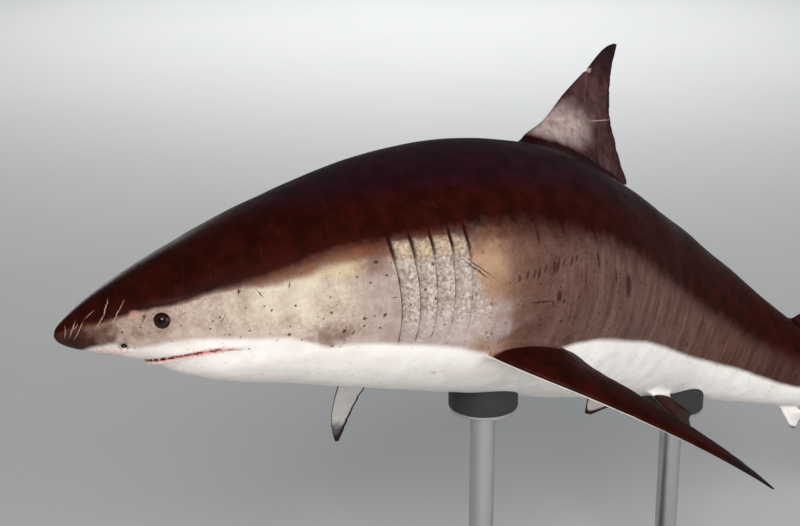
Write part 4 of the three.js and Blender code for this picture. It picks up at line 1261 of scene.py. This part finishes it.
# A mark goes straight through the flank, so its reach across the body has no end
ANY_DEPTH = 1000.0

# The healed pink sore ahead of the left eye
HEALED_SORE = (0.0469, 0.0086, 0, 12, 10)

# The row of short bites across the flank: its two ends, and how many there are
BITES = ((0.2880, -0.0050), (0.3440, 0.0080), 11)


def bite_marks():
    """The bites in a row, longest in the middle by a half sine wave, each a little out of place."""
    first, last, count = BITES
    shift, slide, grow, lean = np.random.default_rng(11).uniform(-1, 1, (4, count))
    part = np.linspace(0.0, 1.0, count) + 0.025 * shift
    along, up = (start + (end - start) * part for start, end in zip(first, last))
    half_length = (8 + 9 * np.sin(np.clip(part, 0, 1) * math.pi) ** 0.7) * (1 + 0.35 * grow)
    return list(zip(along, up + 0.0012 * slide, 76 + 9 * lean, half_length, 4.0 + 1.4 * grow))


def add_wrinkles(add, rest, place):
    """Upright wrinkles: noise 30 mm wide drawn out up and across the body, strongest behind the gills."""
    stretched = add("Mapping", {"Vector": rest, "Scale": (1.0, 0.15, 0.12)})
    wrinkle = add("TexNoise", stretched, 1 / (30 * MM), 4.0, 0.66, output="Fac")
    wrinkle = add("Math", wrinkle, 0.5, operation="SUBTRACT")
    where = add("MapRange", place["X"], 0.26 * LENGTH, 0.34 * LENGTH, 0.15, 1.0)
    return add("Math", wrinkle, where, operation="MULTIPLY"), where


def skin_material():
    """Wet shark skin: its denticles, the fine scales, give it a satin face, and a film of water lies on
    that. Real denticles are under 0.5 mm, too fine to show, so the finest grain here is 4 mm."""
    material, add = new_material("wet_denticle_skin")
    rest = add("Attribute", attribute_name="rest", output="Vector")
    place = {axis: add("SeparateXYZ", rest, output=axis) for axis in "XYZ"}
    grains = {}
    for size, detail in ((300, 3), (60, 2), (25, 3), (8, 3), (4, 2)):
        grains[size] = add("TexNoise", rest, 1 / (size * MM), detail, 0.6, output="Fac")
    wobble = add("Math", grains[60], 0.050 * LENGTH, place["X"], operation="MULTIPLY_ADD")
    along = add("MapRange", wobble, 0.025 * LENGTH, 1.025 * LENGTH)
    shade = add("ValToRGB", along, stops=FLANK)

    # Mottling: every pale or brown patch is made of darker and lighter ones
    for size, low, high in ((60, "e0d9d5", "ffffff"), (8, "ddd6d2", "ffffff")):
        spread_out = add("MapRange", grains[size], 0.35, 0.62)
        tint = add("Mix", spread_out, colour(low), colour(high), data_type="RGBA")
        shade = add("Mix", 0.8, shade, tint, data_type="RGBA", blend_type="MULTIPLY")

    # The flank is darkened in the wrinkles' troughs, painted shade where the bump below sinks them, and the
    # wrinkles streak the lower edge of the dark back
    wrinkle, where = add_wrinkles(add, rest, place)
    streaked = add("MapRange", wrinkle, -0.12, 0.16)
    tint = add("Mix", streaked, colour("cabdb8"), colour("ffffff"), data_type="RGBA")
    shade = add("Mix", where, shade, tint, data_type="RGBA", blend_type="MULTIPLY")

    masks = {}
    for name, size, rough, start, full, strength, mixing, first, second in LAYERS:
        field = add("Attribute", attribute_name=name, output="Fac")
        centred = add("Math", grains[size], 0.5, operation="SUBTRACT")
        ragged = add("Math", centred, 2 * rough, field, operation="MULTIPLY_ADD")
        if name == "dark":
            ragged = add("Math", wrinkle, 1.5, ragged, operation="MULTIPLY_ADD")
        mask = add("MapRange", ragged, start, full, 0.0, strength, interpolation_type="SMOOTHSTEP")
        vary = add("MapRange", grains[mixing], 0.35, 0.65)
        tint = add("Mix", vary, colour(second), colour(first), data_type="RGBA")
        if name == "gum":
            shade, faint = add_specks(add, rest, grains, shade, masks)
            shade, scratch = add_streaks(add, rest, grains, shade, faint)
            shade = add_marks(add, rest, place, shade)
        shade = add("Mix", mask, shade, tint, data_type="RGBA")
        masks[name] = mask

    roughness = add("MapRange", grains[25], 0.3, 0.7, 0.38, 0.46)
    roughness = add("Math", masks["inside"], -0.18, roughness, operation="MULTIPLY_ADD")

    # Height in metres: denticle grain, soft orange-peel, shallow wrinkles, and the streaks a little sunk
    height = add("Math", grains[4], 0.00030, operation="MULTIPLY")
    height = add("Math", grains[8], 0.00050, height, operation="MULTIPLY_ADD")
    height = add("Math", grains[25], 0.00100, height, operation="MULTIPLY_ADD")
    height = add("Math", wrinkle, 0.00220, height, operation="MULTIPLY_ADD")
    height = add("Math", scratch, -0.00050, height, operation="MULTIPLY_ADD")
    normal = add("Bump", {"Height": height, "Distance": 1.0, "Strength": 0.75})
    shader = add("BsdfPrincipled", {
        "Base Color": shade, "Roughness": roughness, "Normal": normal, "IOR": 1.38,
        "Specular IOR Level": 0.05, "Coat Weight": 0.03, "Coat Roughness": 0.15, "Coat IOR": 1.33})
    add("OutputMaterial", {"Surface": shader})
    return material


def add_specks(add, rest, grains, shade, masks):
    """Dark specks all over, of three sizes: the middles of cells, of which chance leaves some bare. Gives
    back the colour, and how much shows outside the white belly, for the streaks."""
    specks = None
    for size, radius, share in ((18, 3.2, 0.50), (26, 5.4, 0.50), (60, 8.5, 0.70)):
        cells = add("TexVoronoi", rest, 1 / (size * MM), output="Distance")
        chance = add("SeparateColor", cells.node.outputs["Color"])
        chosen = add("MapRange", chance, share, 1.0, 0.0, radius / size)
        jagged = add("Math", grains[8], 5.0 / size, cells, operation="MULTIPLY_ADD")
        jagged = add("Math", jagged, 2.5 / size, operation="SUBTRACT")
        speck = add("Math", jagged, chosen, operation="LESS_THAN")
        specks = speck if specks is None else add("Math", specks, speck, operation="MAXIMUM")
    faint = add("MapRange", masks["white"], 0.0, 1.0, 0.75, 0.25)
    bare = add("MapRange", masks["dark"], 0.0, 1.0, 1.0, 0.15)
    specks = add("Math", specks, faint, operation="MULTIPLY")
    specks = add("Math", specks, bare, operation="MULTIPLY")
    return add("Mix", specks, shade, colour("33201c"), data_type="RGBA"), faint


def add_streaks(add, rest, grains, shade, faint):
    """Fine streaks: noise drawn out along one direction, of which only the crests show. Gives back the
    colour and the streaks' strength."""
    scratch = None
    for turn, stretch, low, tone, strength in (
            (15, (0.04, 0.2, 1.0), 0.690, "3a2723", 0.30), (80, (1.0, 0.04, 0.06), 0.665, "33221f", 0.30)):
        turned_place = add("Mapping", {"Vector": rest, "Rotation": (0, math.radians(turn - 90), 0)})
        drawn = add("Mapping", {"Vector": turned_place, "Scale": stretch})
        streak = add("TexNoise", drawn, 1 / (5 * MM), 1.0, output="Fac")
        crest = add("MapRange", streak, low, low + 0.04, 0.0, strength)
        patch = add("MapRange", grains[300], 0.45, 0.60)
        crest = add("Math", crest, patch, operation="MULTIPLY")
        crest = add("Math", crest, faint, operation="MULTIPLY")
        shade = add("Mix", crest, shade, colour(tone), data_type="RGBA")
        scratch = crest if scratch is None else add("Math", scratch, crest, operation="MAXIMUM")
    return shade, scratch


def add_marks(add, rest, place, shade):
    """The scars, bites and spots of the left side: stretched rounds, their edges roughened by shaking the
    place by a noise of 9 mm."""
    left = add("Math", place["Y"], 0.02, operation="LESS_THAN")
    shaken = add("TexNoise", rest, 1 / (9 * MM), 2.0, output="Color")
    shaken = add("VectorMath", shaken, (0.5, 0.5, 0.5), operation="SUBTRACT")
    shaken = add("VectorMath", shaken, (0.007, 0.007, 0.007), rest, operation="MULTIPLY_ADD")
    for marks, tone, edge, core, strength in (
            (DARK_MARKS, "2f1915", 1.45, 0.70, 0.85), (bite_marks(), "301a16", 1.45, 0.70, 0.75),
            (PALE_MARKS, "c3aaa3", 1.45, 0.70, 0.62), ([HEALED_SORE], "b5877e", 1.3, 0.5, 0.65)):
        total = None
        for at, high, turn, half_length, half_width in marks:
            local = add("Mapping", {
                "Vector": shaken, "Location": (at * LENGTH, 0, high * LENGTH),
                "Rotation": (0, math.radians(-turn), 0),
                "Scale": (half_length * MM, ANY_DEPTH, half_width * MM)}, vector_type="TEXTURE")
            away = add("VectorMath", local, operation="LENGTH", output="Value")
            mark = add("MapRange", away, edge, core, 0.0, strength)
            total = mark if total is None else add("Math", total, mark, operation="MAXIMUM")
        total = add("Math", total, left, operation="MULTIPLY")
        shade = add("Mix", total, shade, colour(tone), data_type="RGBA")
    return shade


def eye_material():
    """A wet eyeball: a near-black iris with fine spokes round a black pupil, under a clear glossy front."""
    material, add = new_material("wet_eyeball")
    way = add("Attribute", attribute_name="from_axis", output="Fac")
    spoke = add("Attribute", attribute_name="spoke", output="Vector")
    fibres = add("TexNoise", spoke, 14.0, 3.0, output="Fac")
    fibre_way = add("Math", fibres, 0.0026, way, operation="MULTIPLY_ADD")
    part = add("MapRange", fibre_way, 0.0, 0.0240)
    shade = add("ValToRGB", part, stops=[
        (0.00, "050303"), (0.34, "0a0505"), (0.44, "26100c"), (0.60, "311611"), (0.78, "230f0c"),
        (0.90, "170b09"), (0.96, "2a1b18"), (1.00, "3a2a26")])
    streak = add("MapRange", fibres, 0.40, 0.60)
    lit = add("Mix", streak, colour("8a8a8a"), colour("ffffff"), data_type="RGBA")
    shade = add("Mix", 0.7, shade, lit, data_type="RGBA", blend_type="MULTIPLY")
    add("OutputMaterial", {"Surface": add("BsdfPrincipled", {
        "Base Color": shade, "Roughness": 0.10, "IOR": 1.34, "Specular IOR Level": 0.40})})
    return material


def enamel_material():
    """Tooth enamel: warm white, more yellow at the root, hard and glossy."""
    material, add = new_material("tooth_enamel")
    place = add("TexCoord", output="Object")
    grain = add("TexNoise", place, 1 / (3 * MM), 3.0, output="Fac")
    root = add("Attribute", attribute_name="root", output="Fac")
    part = add("Math", grain, 0.35, root, operation="MULTIPLY_ADD")
    shade = add("ValToRGB", part, stops=[(0.15, "f1ece0"), (0.60, "e9dfcb"), (0.95, "cdb48f")])
    add("OutputMaterial", {"Surface": add("BsdfPrincipled", {
        "Base Color": shade, "Roughness": 0.18, "IOR": 1.62})})
    return material


def rubber_material():
    """Cast black rubber: a dull grey-black face with a fine pebbled grain of about 1.5 mm."""
    material, add = new_material("cast_black_rubber")
    place = add("TexCoord", output="Object")
    grain = add("TexNoise", place, 1 / (1.5 * MM), 3.0, output="Fac")
    dust = add("TexNoise", place, 1 / (40 * MM), 5.0, output="Fac")
    dusty = add("MapRange", dust, 0.40, 0.75, 0.0, 0.5)
    shade = add("Mix", dusty, colour("1b1b1c"), colour("343332"), data_type="RGBA")
    roughness = add("MapRange", dust, 0.0, 1.0, 0.55, 0.85)
    height = add("Math", grain, 0.0003, operation="MULTIPLY")
    normal = add("Bump", {"Height": height, "Distance": 1.0, "Strength": 0.6})
    add("OutputMaterial", {"Surface": add("BsdfPrincipled", {
        "Base Color": shade, "Roughness": roughness, "Normal": normal, "IOR": 1.52})})
    return material


def brushed_steel_material():
    """Stainless tube brushed round its length: fine rings of grain, 0.4 mm apart, and a few dull clouds."""
    material, add = new_material("brushed_stainless_steel")
    place = add("TexCoord", output="Object")
    rings = add("Mapping", {"Vector": place, "Scale": (2.0, 2.0, 900.0)})
    grain = add("TexNoise", rings, 2.5, 3.0, output="Fac")
    cloud = add("TexNoise", place, 1 / (120 * MM), 4.0, output="Fac")
    shade = add("Mix", grain, colour("a5a6a7"), colour("d0cfcd"), data_type="RGBA")
    roughness = add("MapRange", grain, 0.0, 1.0, 0.20, 0.36)
    roughness = add("Math", cloud, 0.12, roughness, operation="MULTIPLY_ADD")
    height = add("Math", grain, 0.00006, operation="MULTIPLY")
    normal = add("Bump", {"Height": height, "Distance": 1.0, "Strength": 0.5})
    add("OutputMaterial", {"Surface": add("BsdfPrincipled", {
        "Base Color": shade, "Metallic": 1.0, "Roughness": roughness, "Normal": normal})})
    return material


def powder_coat_material():
    """Powder-coated steel plate: a charcoal satin face with an orange-peel of about 4 mm."""
    material, add = new_material("powder_coated_steel")
    place = add("TexCoord", output="Object")
    peel = add("TexNoise", place, 1 / (4 * MM), 2.0, output="Fac")
    cloud = add("TexNoise", place, 1 / (300 * MM), 5.0, output="Fac")
    shade = add("Mix", cloud, colour("35383a"), colour("43474a"), data_type="RGBA")
    roughness = add("MapRange", cloud, 0.3, 0.7, 0.42, 0.58)
    height = add("Math", peel, 0.0002, operation="MULTIPLY")
    normal = add("Bump", {"Height": height, "Distance": 1.0, "Strength": 0.6})
    add("OutputMaterial", {"Surface": add("BsdfPrincipled", {
        "Base Color": shade, "Roughness": roughness, "Normal": normal, "IOR": 1.50})})
    return material


def floor_material():
    """Pale painted floor: matt, with a very slight unevenness."""
    material, add = new_material("pale_painted_floor")
    place = add("TexCoord", output="Object")
    cloud = add("TexNoise", place, 0.8, 4.0, output="Fac")
    shade = add("Mix", cloud, colour("d3d5d6"), colour("dadbdb"), data_type="RGBA")
    add("OutputMaterial", {"Surface": add("BsdfPrincipled", {"Base Color": shade, "Roughness": 0.75})})
    return material


# ---- Stand -------------------------------------------------------------------------------------

def turned_grid(profile, middle, sides=96):
    """A turned part: a profile of (radius, height) carried round an upright line through the middle."""
    turn = np.linspace(0, 2 * math.pi, sides + 1)[:-1]
    radius, height = np.array(profile, float).T
    grid = np.empty((len(radius), sides, 3))
    grid[..., 0] = middle[0] + radius[:, None] * np.cos(turn)
    grid[..., 1] = middle[1] + radius[:, None] * np.sin(turn)
    grid[..., 2] = (middle[2] + height)[:, None]
    return grid


def plate_grid(low, high, corner, bevel):
    """The base plate: a rounded rectangle carried up its side, its edges rounded by quarter circles."""
    steps = np.linspace(0, math.pi / 2, 5)
    falling, rising = bevel * (1 - np.sin(steps)), bevel * (1 - np.cos(steps))
    flat = [corner * 0.98, bevel + 0.002]
    inset = np.concatenate([flat, falling, rising, flat[::-1]])
    tall = high[2] - low[2]
    height = np.concatenate([[0, 0], rising, tall - falling, [tall, tall]])
    turn = np.linspace(0, 2 * math.pi, 97)[:-1] + math.pi / 96
    right, ahead = np.sign(np.cos(turn)), np.sign(np.sin(turn))
    middle, half = (low + high) / 2, (high - low) / 2
    grid = np.empty((len(inset), 96, 3))
    radius = corner - inset[:, None]
    grid[..., 0] = middle[0] + right * (half[0] - corner) + radius * np.cos(turn)
    grid[..., 1] = middle[1] + ahead * (half[1] - corner) + radius * np.sin(turn)
    grid[..., 2] = (low[2] + height)[:, None]
    return grid


PLATE_CORNER = 0.090
PLATE_BEVEL = 0.004
ROD_RADIUS = 0.038
FLANGE_RADIUS = 0.095
FLANGE_HEIGHT = 0.014
BOLT_CIRCLE = 0.072
PAD_RADIUS = 0.105
DISH_HEIGHT = 0.012
PAD_GAP = 0.0003


def quarter_circle(radius, height, out, up, count=6):
    """Points of a quarter circle of a turned part: 1 - sine of the turn outwards and 1 - cosine upwards."""
    turns = np.linspace(0, math.pi / 2, count)
    return [(radius + out * (1 - math.sin(turn)), height + up * (1 - math.cos(turn))) for turn in turns]


def bolt_grids(middle):
    """Six bolts round the flange: a washer and a six-sided head with a chamfer each."""
    grids = []
    for k in range(6):
        turn = math.radians(30 + 60 * k)
        spot = middle + np.array([math.cos(turn), math.sin(turn), 0]) * BOLT_CIRCLE
        grids.append(turned_grid([(0.001, -0.001), (0.0115, -0.001), (0.0115, 0.0016), (0.0108, 0.0020),
                                  (0.001, 0.0020)], spot, 32))
        grids.append(turned_grid([(0.001, 0.0015), (0.0085, 0.0015), (0.0085, 0.0075), (0.0070, 0.0086),
                                  (0.001, 0.0086)], spot, 6))
    return grids


def finish_hard(thing, material, nodes):
    """Sharp edges over 35 degrees, a material, and what the piece stands for."""
    thing.data.shade_smooth()
    thing.data.set_sharp_from_angle(angle=math.radians(35))
    thing.data.materials.clear()
    thing.data.materials.append(material)
    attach(thing, "root")
    if nodes:
        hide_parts(*nodes)


def make_plate():
    """The base plate, over the solid's box."""
    low, high = np.array(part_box("stand_base"))
    plate = mesh_from("stand_plate", [plate_grid(low, high, PLATE_CORNER, PLATE_BEVEL)])
    finish_hard(plate, powder_coat_material(), ["stand_base"])


def make_tube(end, material):
    """A tube with a bolted flange at its foot and a dish on top, turned in one piece over the solid's box.
    Gives back the middle of its foot."""
    low, high = np.array(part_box("stand_rod_" + end))
    pad_low, _ = np.array(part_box("stand_saddle_" + end))
    middle = np.array([(low[0] + high[0]) / 2, (low[1] + high[1]) / 2, low[2]])
    top = pad_low[2] + DISH_HEIGHT - low[2]
    bottom = top - DISH_HEIGHT
    weld = quarter_circle(ROD_RADIUS, FLANGE_HEIGHT, 0.008, 0.008)
    under = quarter_circle(ROD_RADIUS, bottom, 0.012, -0.012)[::-1]
    profile = [
        (0.001, 0), (FLANGE_RADIUS - 0.001, 0), (FLANGE_RADIUS, 0.001),
        (FLANGE_RADIUS, FLANGE_HEIGHT - 0.002), (FLANGE_RADIUS - 0.0006, FLANGE_HEIGHT - 0.0006),
        (FLANGE_RADIUS - 0.002, FLANGE_HEIGHT), *weld, *under, (PAD_RADIUS - 0.006, bottom),
        (PAD_RADIUS - 0.004, bottom + 0.001), (PAD_RADIUS - 0.003, bottom + 0.003),
        (PAD_RADIUS - 0.003, top - 0.001), (PAD_RADIUS - 0.004, top), (0.001, top)]
    bolts = bolt_grids(middle + np.array([0, 0, FLANGE_HEIGHT]))
    tube = mesh_from("stand_tube_" + end, [turned_grid(profile, middle), *bolts])
    finish_hard(tube, material, ["stand_rod_" + end])
    return middle


def make_pad(end, middle, material, flesh):
    """A round rubber pad on the dish, tall enough to reach the belly, which is then cut out of it."""
    low, high = np.array(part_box("stand_saddle_" + end))
    tall = high[2] + 0.02 - low[2] - DISH_HEIGHT
    round_edge = quarter_circle(PAD_RADIUS, 0.0, -0.004, 0.004, 5)
    sides = [(PAD_RADIUS, float(z)) for z in np.linspace(0.006, tall, 12)]
    spot = np.array([middle[0], middle[1], low[2] + DISH_HEIGHT + PAD_GAP])
    profile = [(0.001, 0), *round_edge, *sides, (0.001, tall)]
    pad = mesh_from("stand_pad_" + end, [turned_grid(profile, spot)])
    combine(pad, flesh, "DIFFERENCE")
    finish_hard(pad, material, ["stand_saddle_" + end])


# ---- Making it ---------------------------------------------------------------------------------

skin = make_skin()
for field, values in skin_fields(points_of(skin)).items():
    add_field(skin, field, values)
finish_flesh(skin, skin_material())
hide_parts(*FLESH)

wet_eye = eye_material()
for hand, side_name in ((-1, "left"), (1, "right")):
    eye = make_eye(hand, "eyeball_" + side_name)
    finish_flesh(eye, wet_eye)
    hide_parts("eye_" + side_name)

enamel = enamel_material()
for upper, row_name in ((True, "upper"), (False, "lower")):
    teeth = mesh_from("teeth_" + row_name, teeth_grids(upper))
    spots = points_of(teeth)
    add_field(teeth, "root", 1 - np.clip(np.abs(spots[:, 2] - spots[:, 2].mean()) / 0.008, 0, 1))
    finish_flesh(teeth, enamel)

make_plate()
steel, rubber = brushed_steel_material(), rubber_material()
for end in ("front", "rear"):
    make_pad(end, make_tube(end, steel), rubber, skin)

# ---- Studio ------------------------------------------------------------------------------------

# The camera's turn about the upright, its fall below level, its distance in metres from what it looks at,
# its lens in mm, and how far that aim lies to its right of the snout, ahead of it and over it
CAMERA_TURN = math.radians(-30)
CAMERA_FALL = math.radians(17.88)
CAMERA_DISTANCE = 4.008
CAMERA_LENS = 70.92
AIM_FROM_SNOUT = (0.8933, 0.0, 0.2005)


def turned_point(x, y, z):
    """A way to the camera's right, ahead and up, turned about the upright by the camera's turn."""
    c, s = math.cos(CAMERA_TURN), math.sin(CAMERA_TURN)
    return Vector((c * x - s * y, s * x + c * y, z))


def add_camera():
    """A camera that looks ahead and down by its fall, at its distance from a point beside the snout."""
    look = turned_point(0.0, math.cos(CAMERA_FALL), -math.sin(CAMERA_FALL))
    aim = Vector(SNOUT) + turned_point(*AIM_FROM_SNOUT)
    data = bpy.data.cameras.new("camera")
    data.sensor_width = 36.0
    data.lens = CAMERA_LENS
    camera = bpy.data.objects.new("camera", data)
    bpy.context.collection.objects.link(camera)
    camera.location = aim - look * CAMERA_DISTANCE
    camera.rotation_euler = look.to_track_quat("-Z", "Y").to_euler()
    bpy.context.scene.camera = camera


def add_floor():
    """A plain square floor under the stand, far wider than the view."""
    mesh = bpy.data.meshes.new("floor")
    reach = 60.0
    mesh.from_pydata([(-reach, -reach, 0), (reach, -reach, 0), (reach, reach, 0), (-reach, reach, 0)], [],
                     [(0, 1, 2, 3)])
    mesh.materials.append(floor_material())
    floor = bpy.data.objects.new("floor", mesh)
    bpy.context.collection.objects.link(floor)


def add_lamp(name, kind, place, aim, power, code="ffffff", **settings):
    """A lamp turned from its place to its aim, which the camera doesn't see."""
    data = bpy.data.lights.new(name, kind)
    data.energy = power
    data.color = colour(code)[:3]
    for setting, value in settings.items():
        setattr(data, setting, value)
    lamp = bpy.data.objects.new(name, data)
    bpy.context.collection.objects.link(lamp)
    lamp.location = place
    lamp.rotation_euler = (Vector(aim) - Vector(place)).to_track_quat("-Z", "Y").to_euler()
    lamp.visible_camera = False


def add_sky():
    """An even pale sky all round."""
    world = bpy.data.worlds.new("studio")
    bpy.context.scene.world = world
    world.use_nodes = True
    background = world.node_tree.nodes["Background"]
    background.inputs["Color"].default_value = colour("d9dcdf")
    background.inputs["Strength"].default_value = 0.26


add_camera()
add_floor()
add_sky()
add_lamp("key", "AREA", (-4.6, -7.4, 6.0), (-0.4, -0.2, 1.5), 840, "fffaf3", shape="DISK", size=5.0)
add_lamp("fill", "AREA", (4.0, -6.5, 3.0), (0.3, 0, 1.5), 240, "f1f5ff", shape="DISK", size=5.0)
add_lamp("far_fill", "SPOT", (0.3, 8.5, 1.3), (0.3, 0, 1.45), 550,
         spot_size=math.radians(34), spot_blend=1.0, shadow_soft_size=1.6)
add_lamp("floor_light", "SPOT", (7.5, 13.0, 12.0), (7.5, 13.0, 0.0), 6500,
         spot_size=math.radians(110), spot_blend=1.0, shadow_soft_size=1.0)
bpy.context.scene.view_settings.view_transform = "Standard"
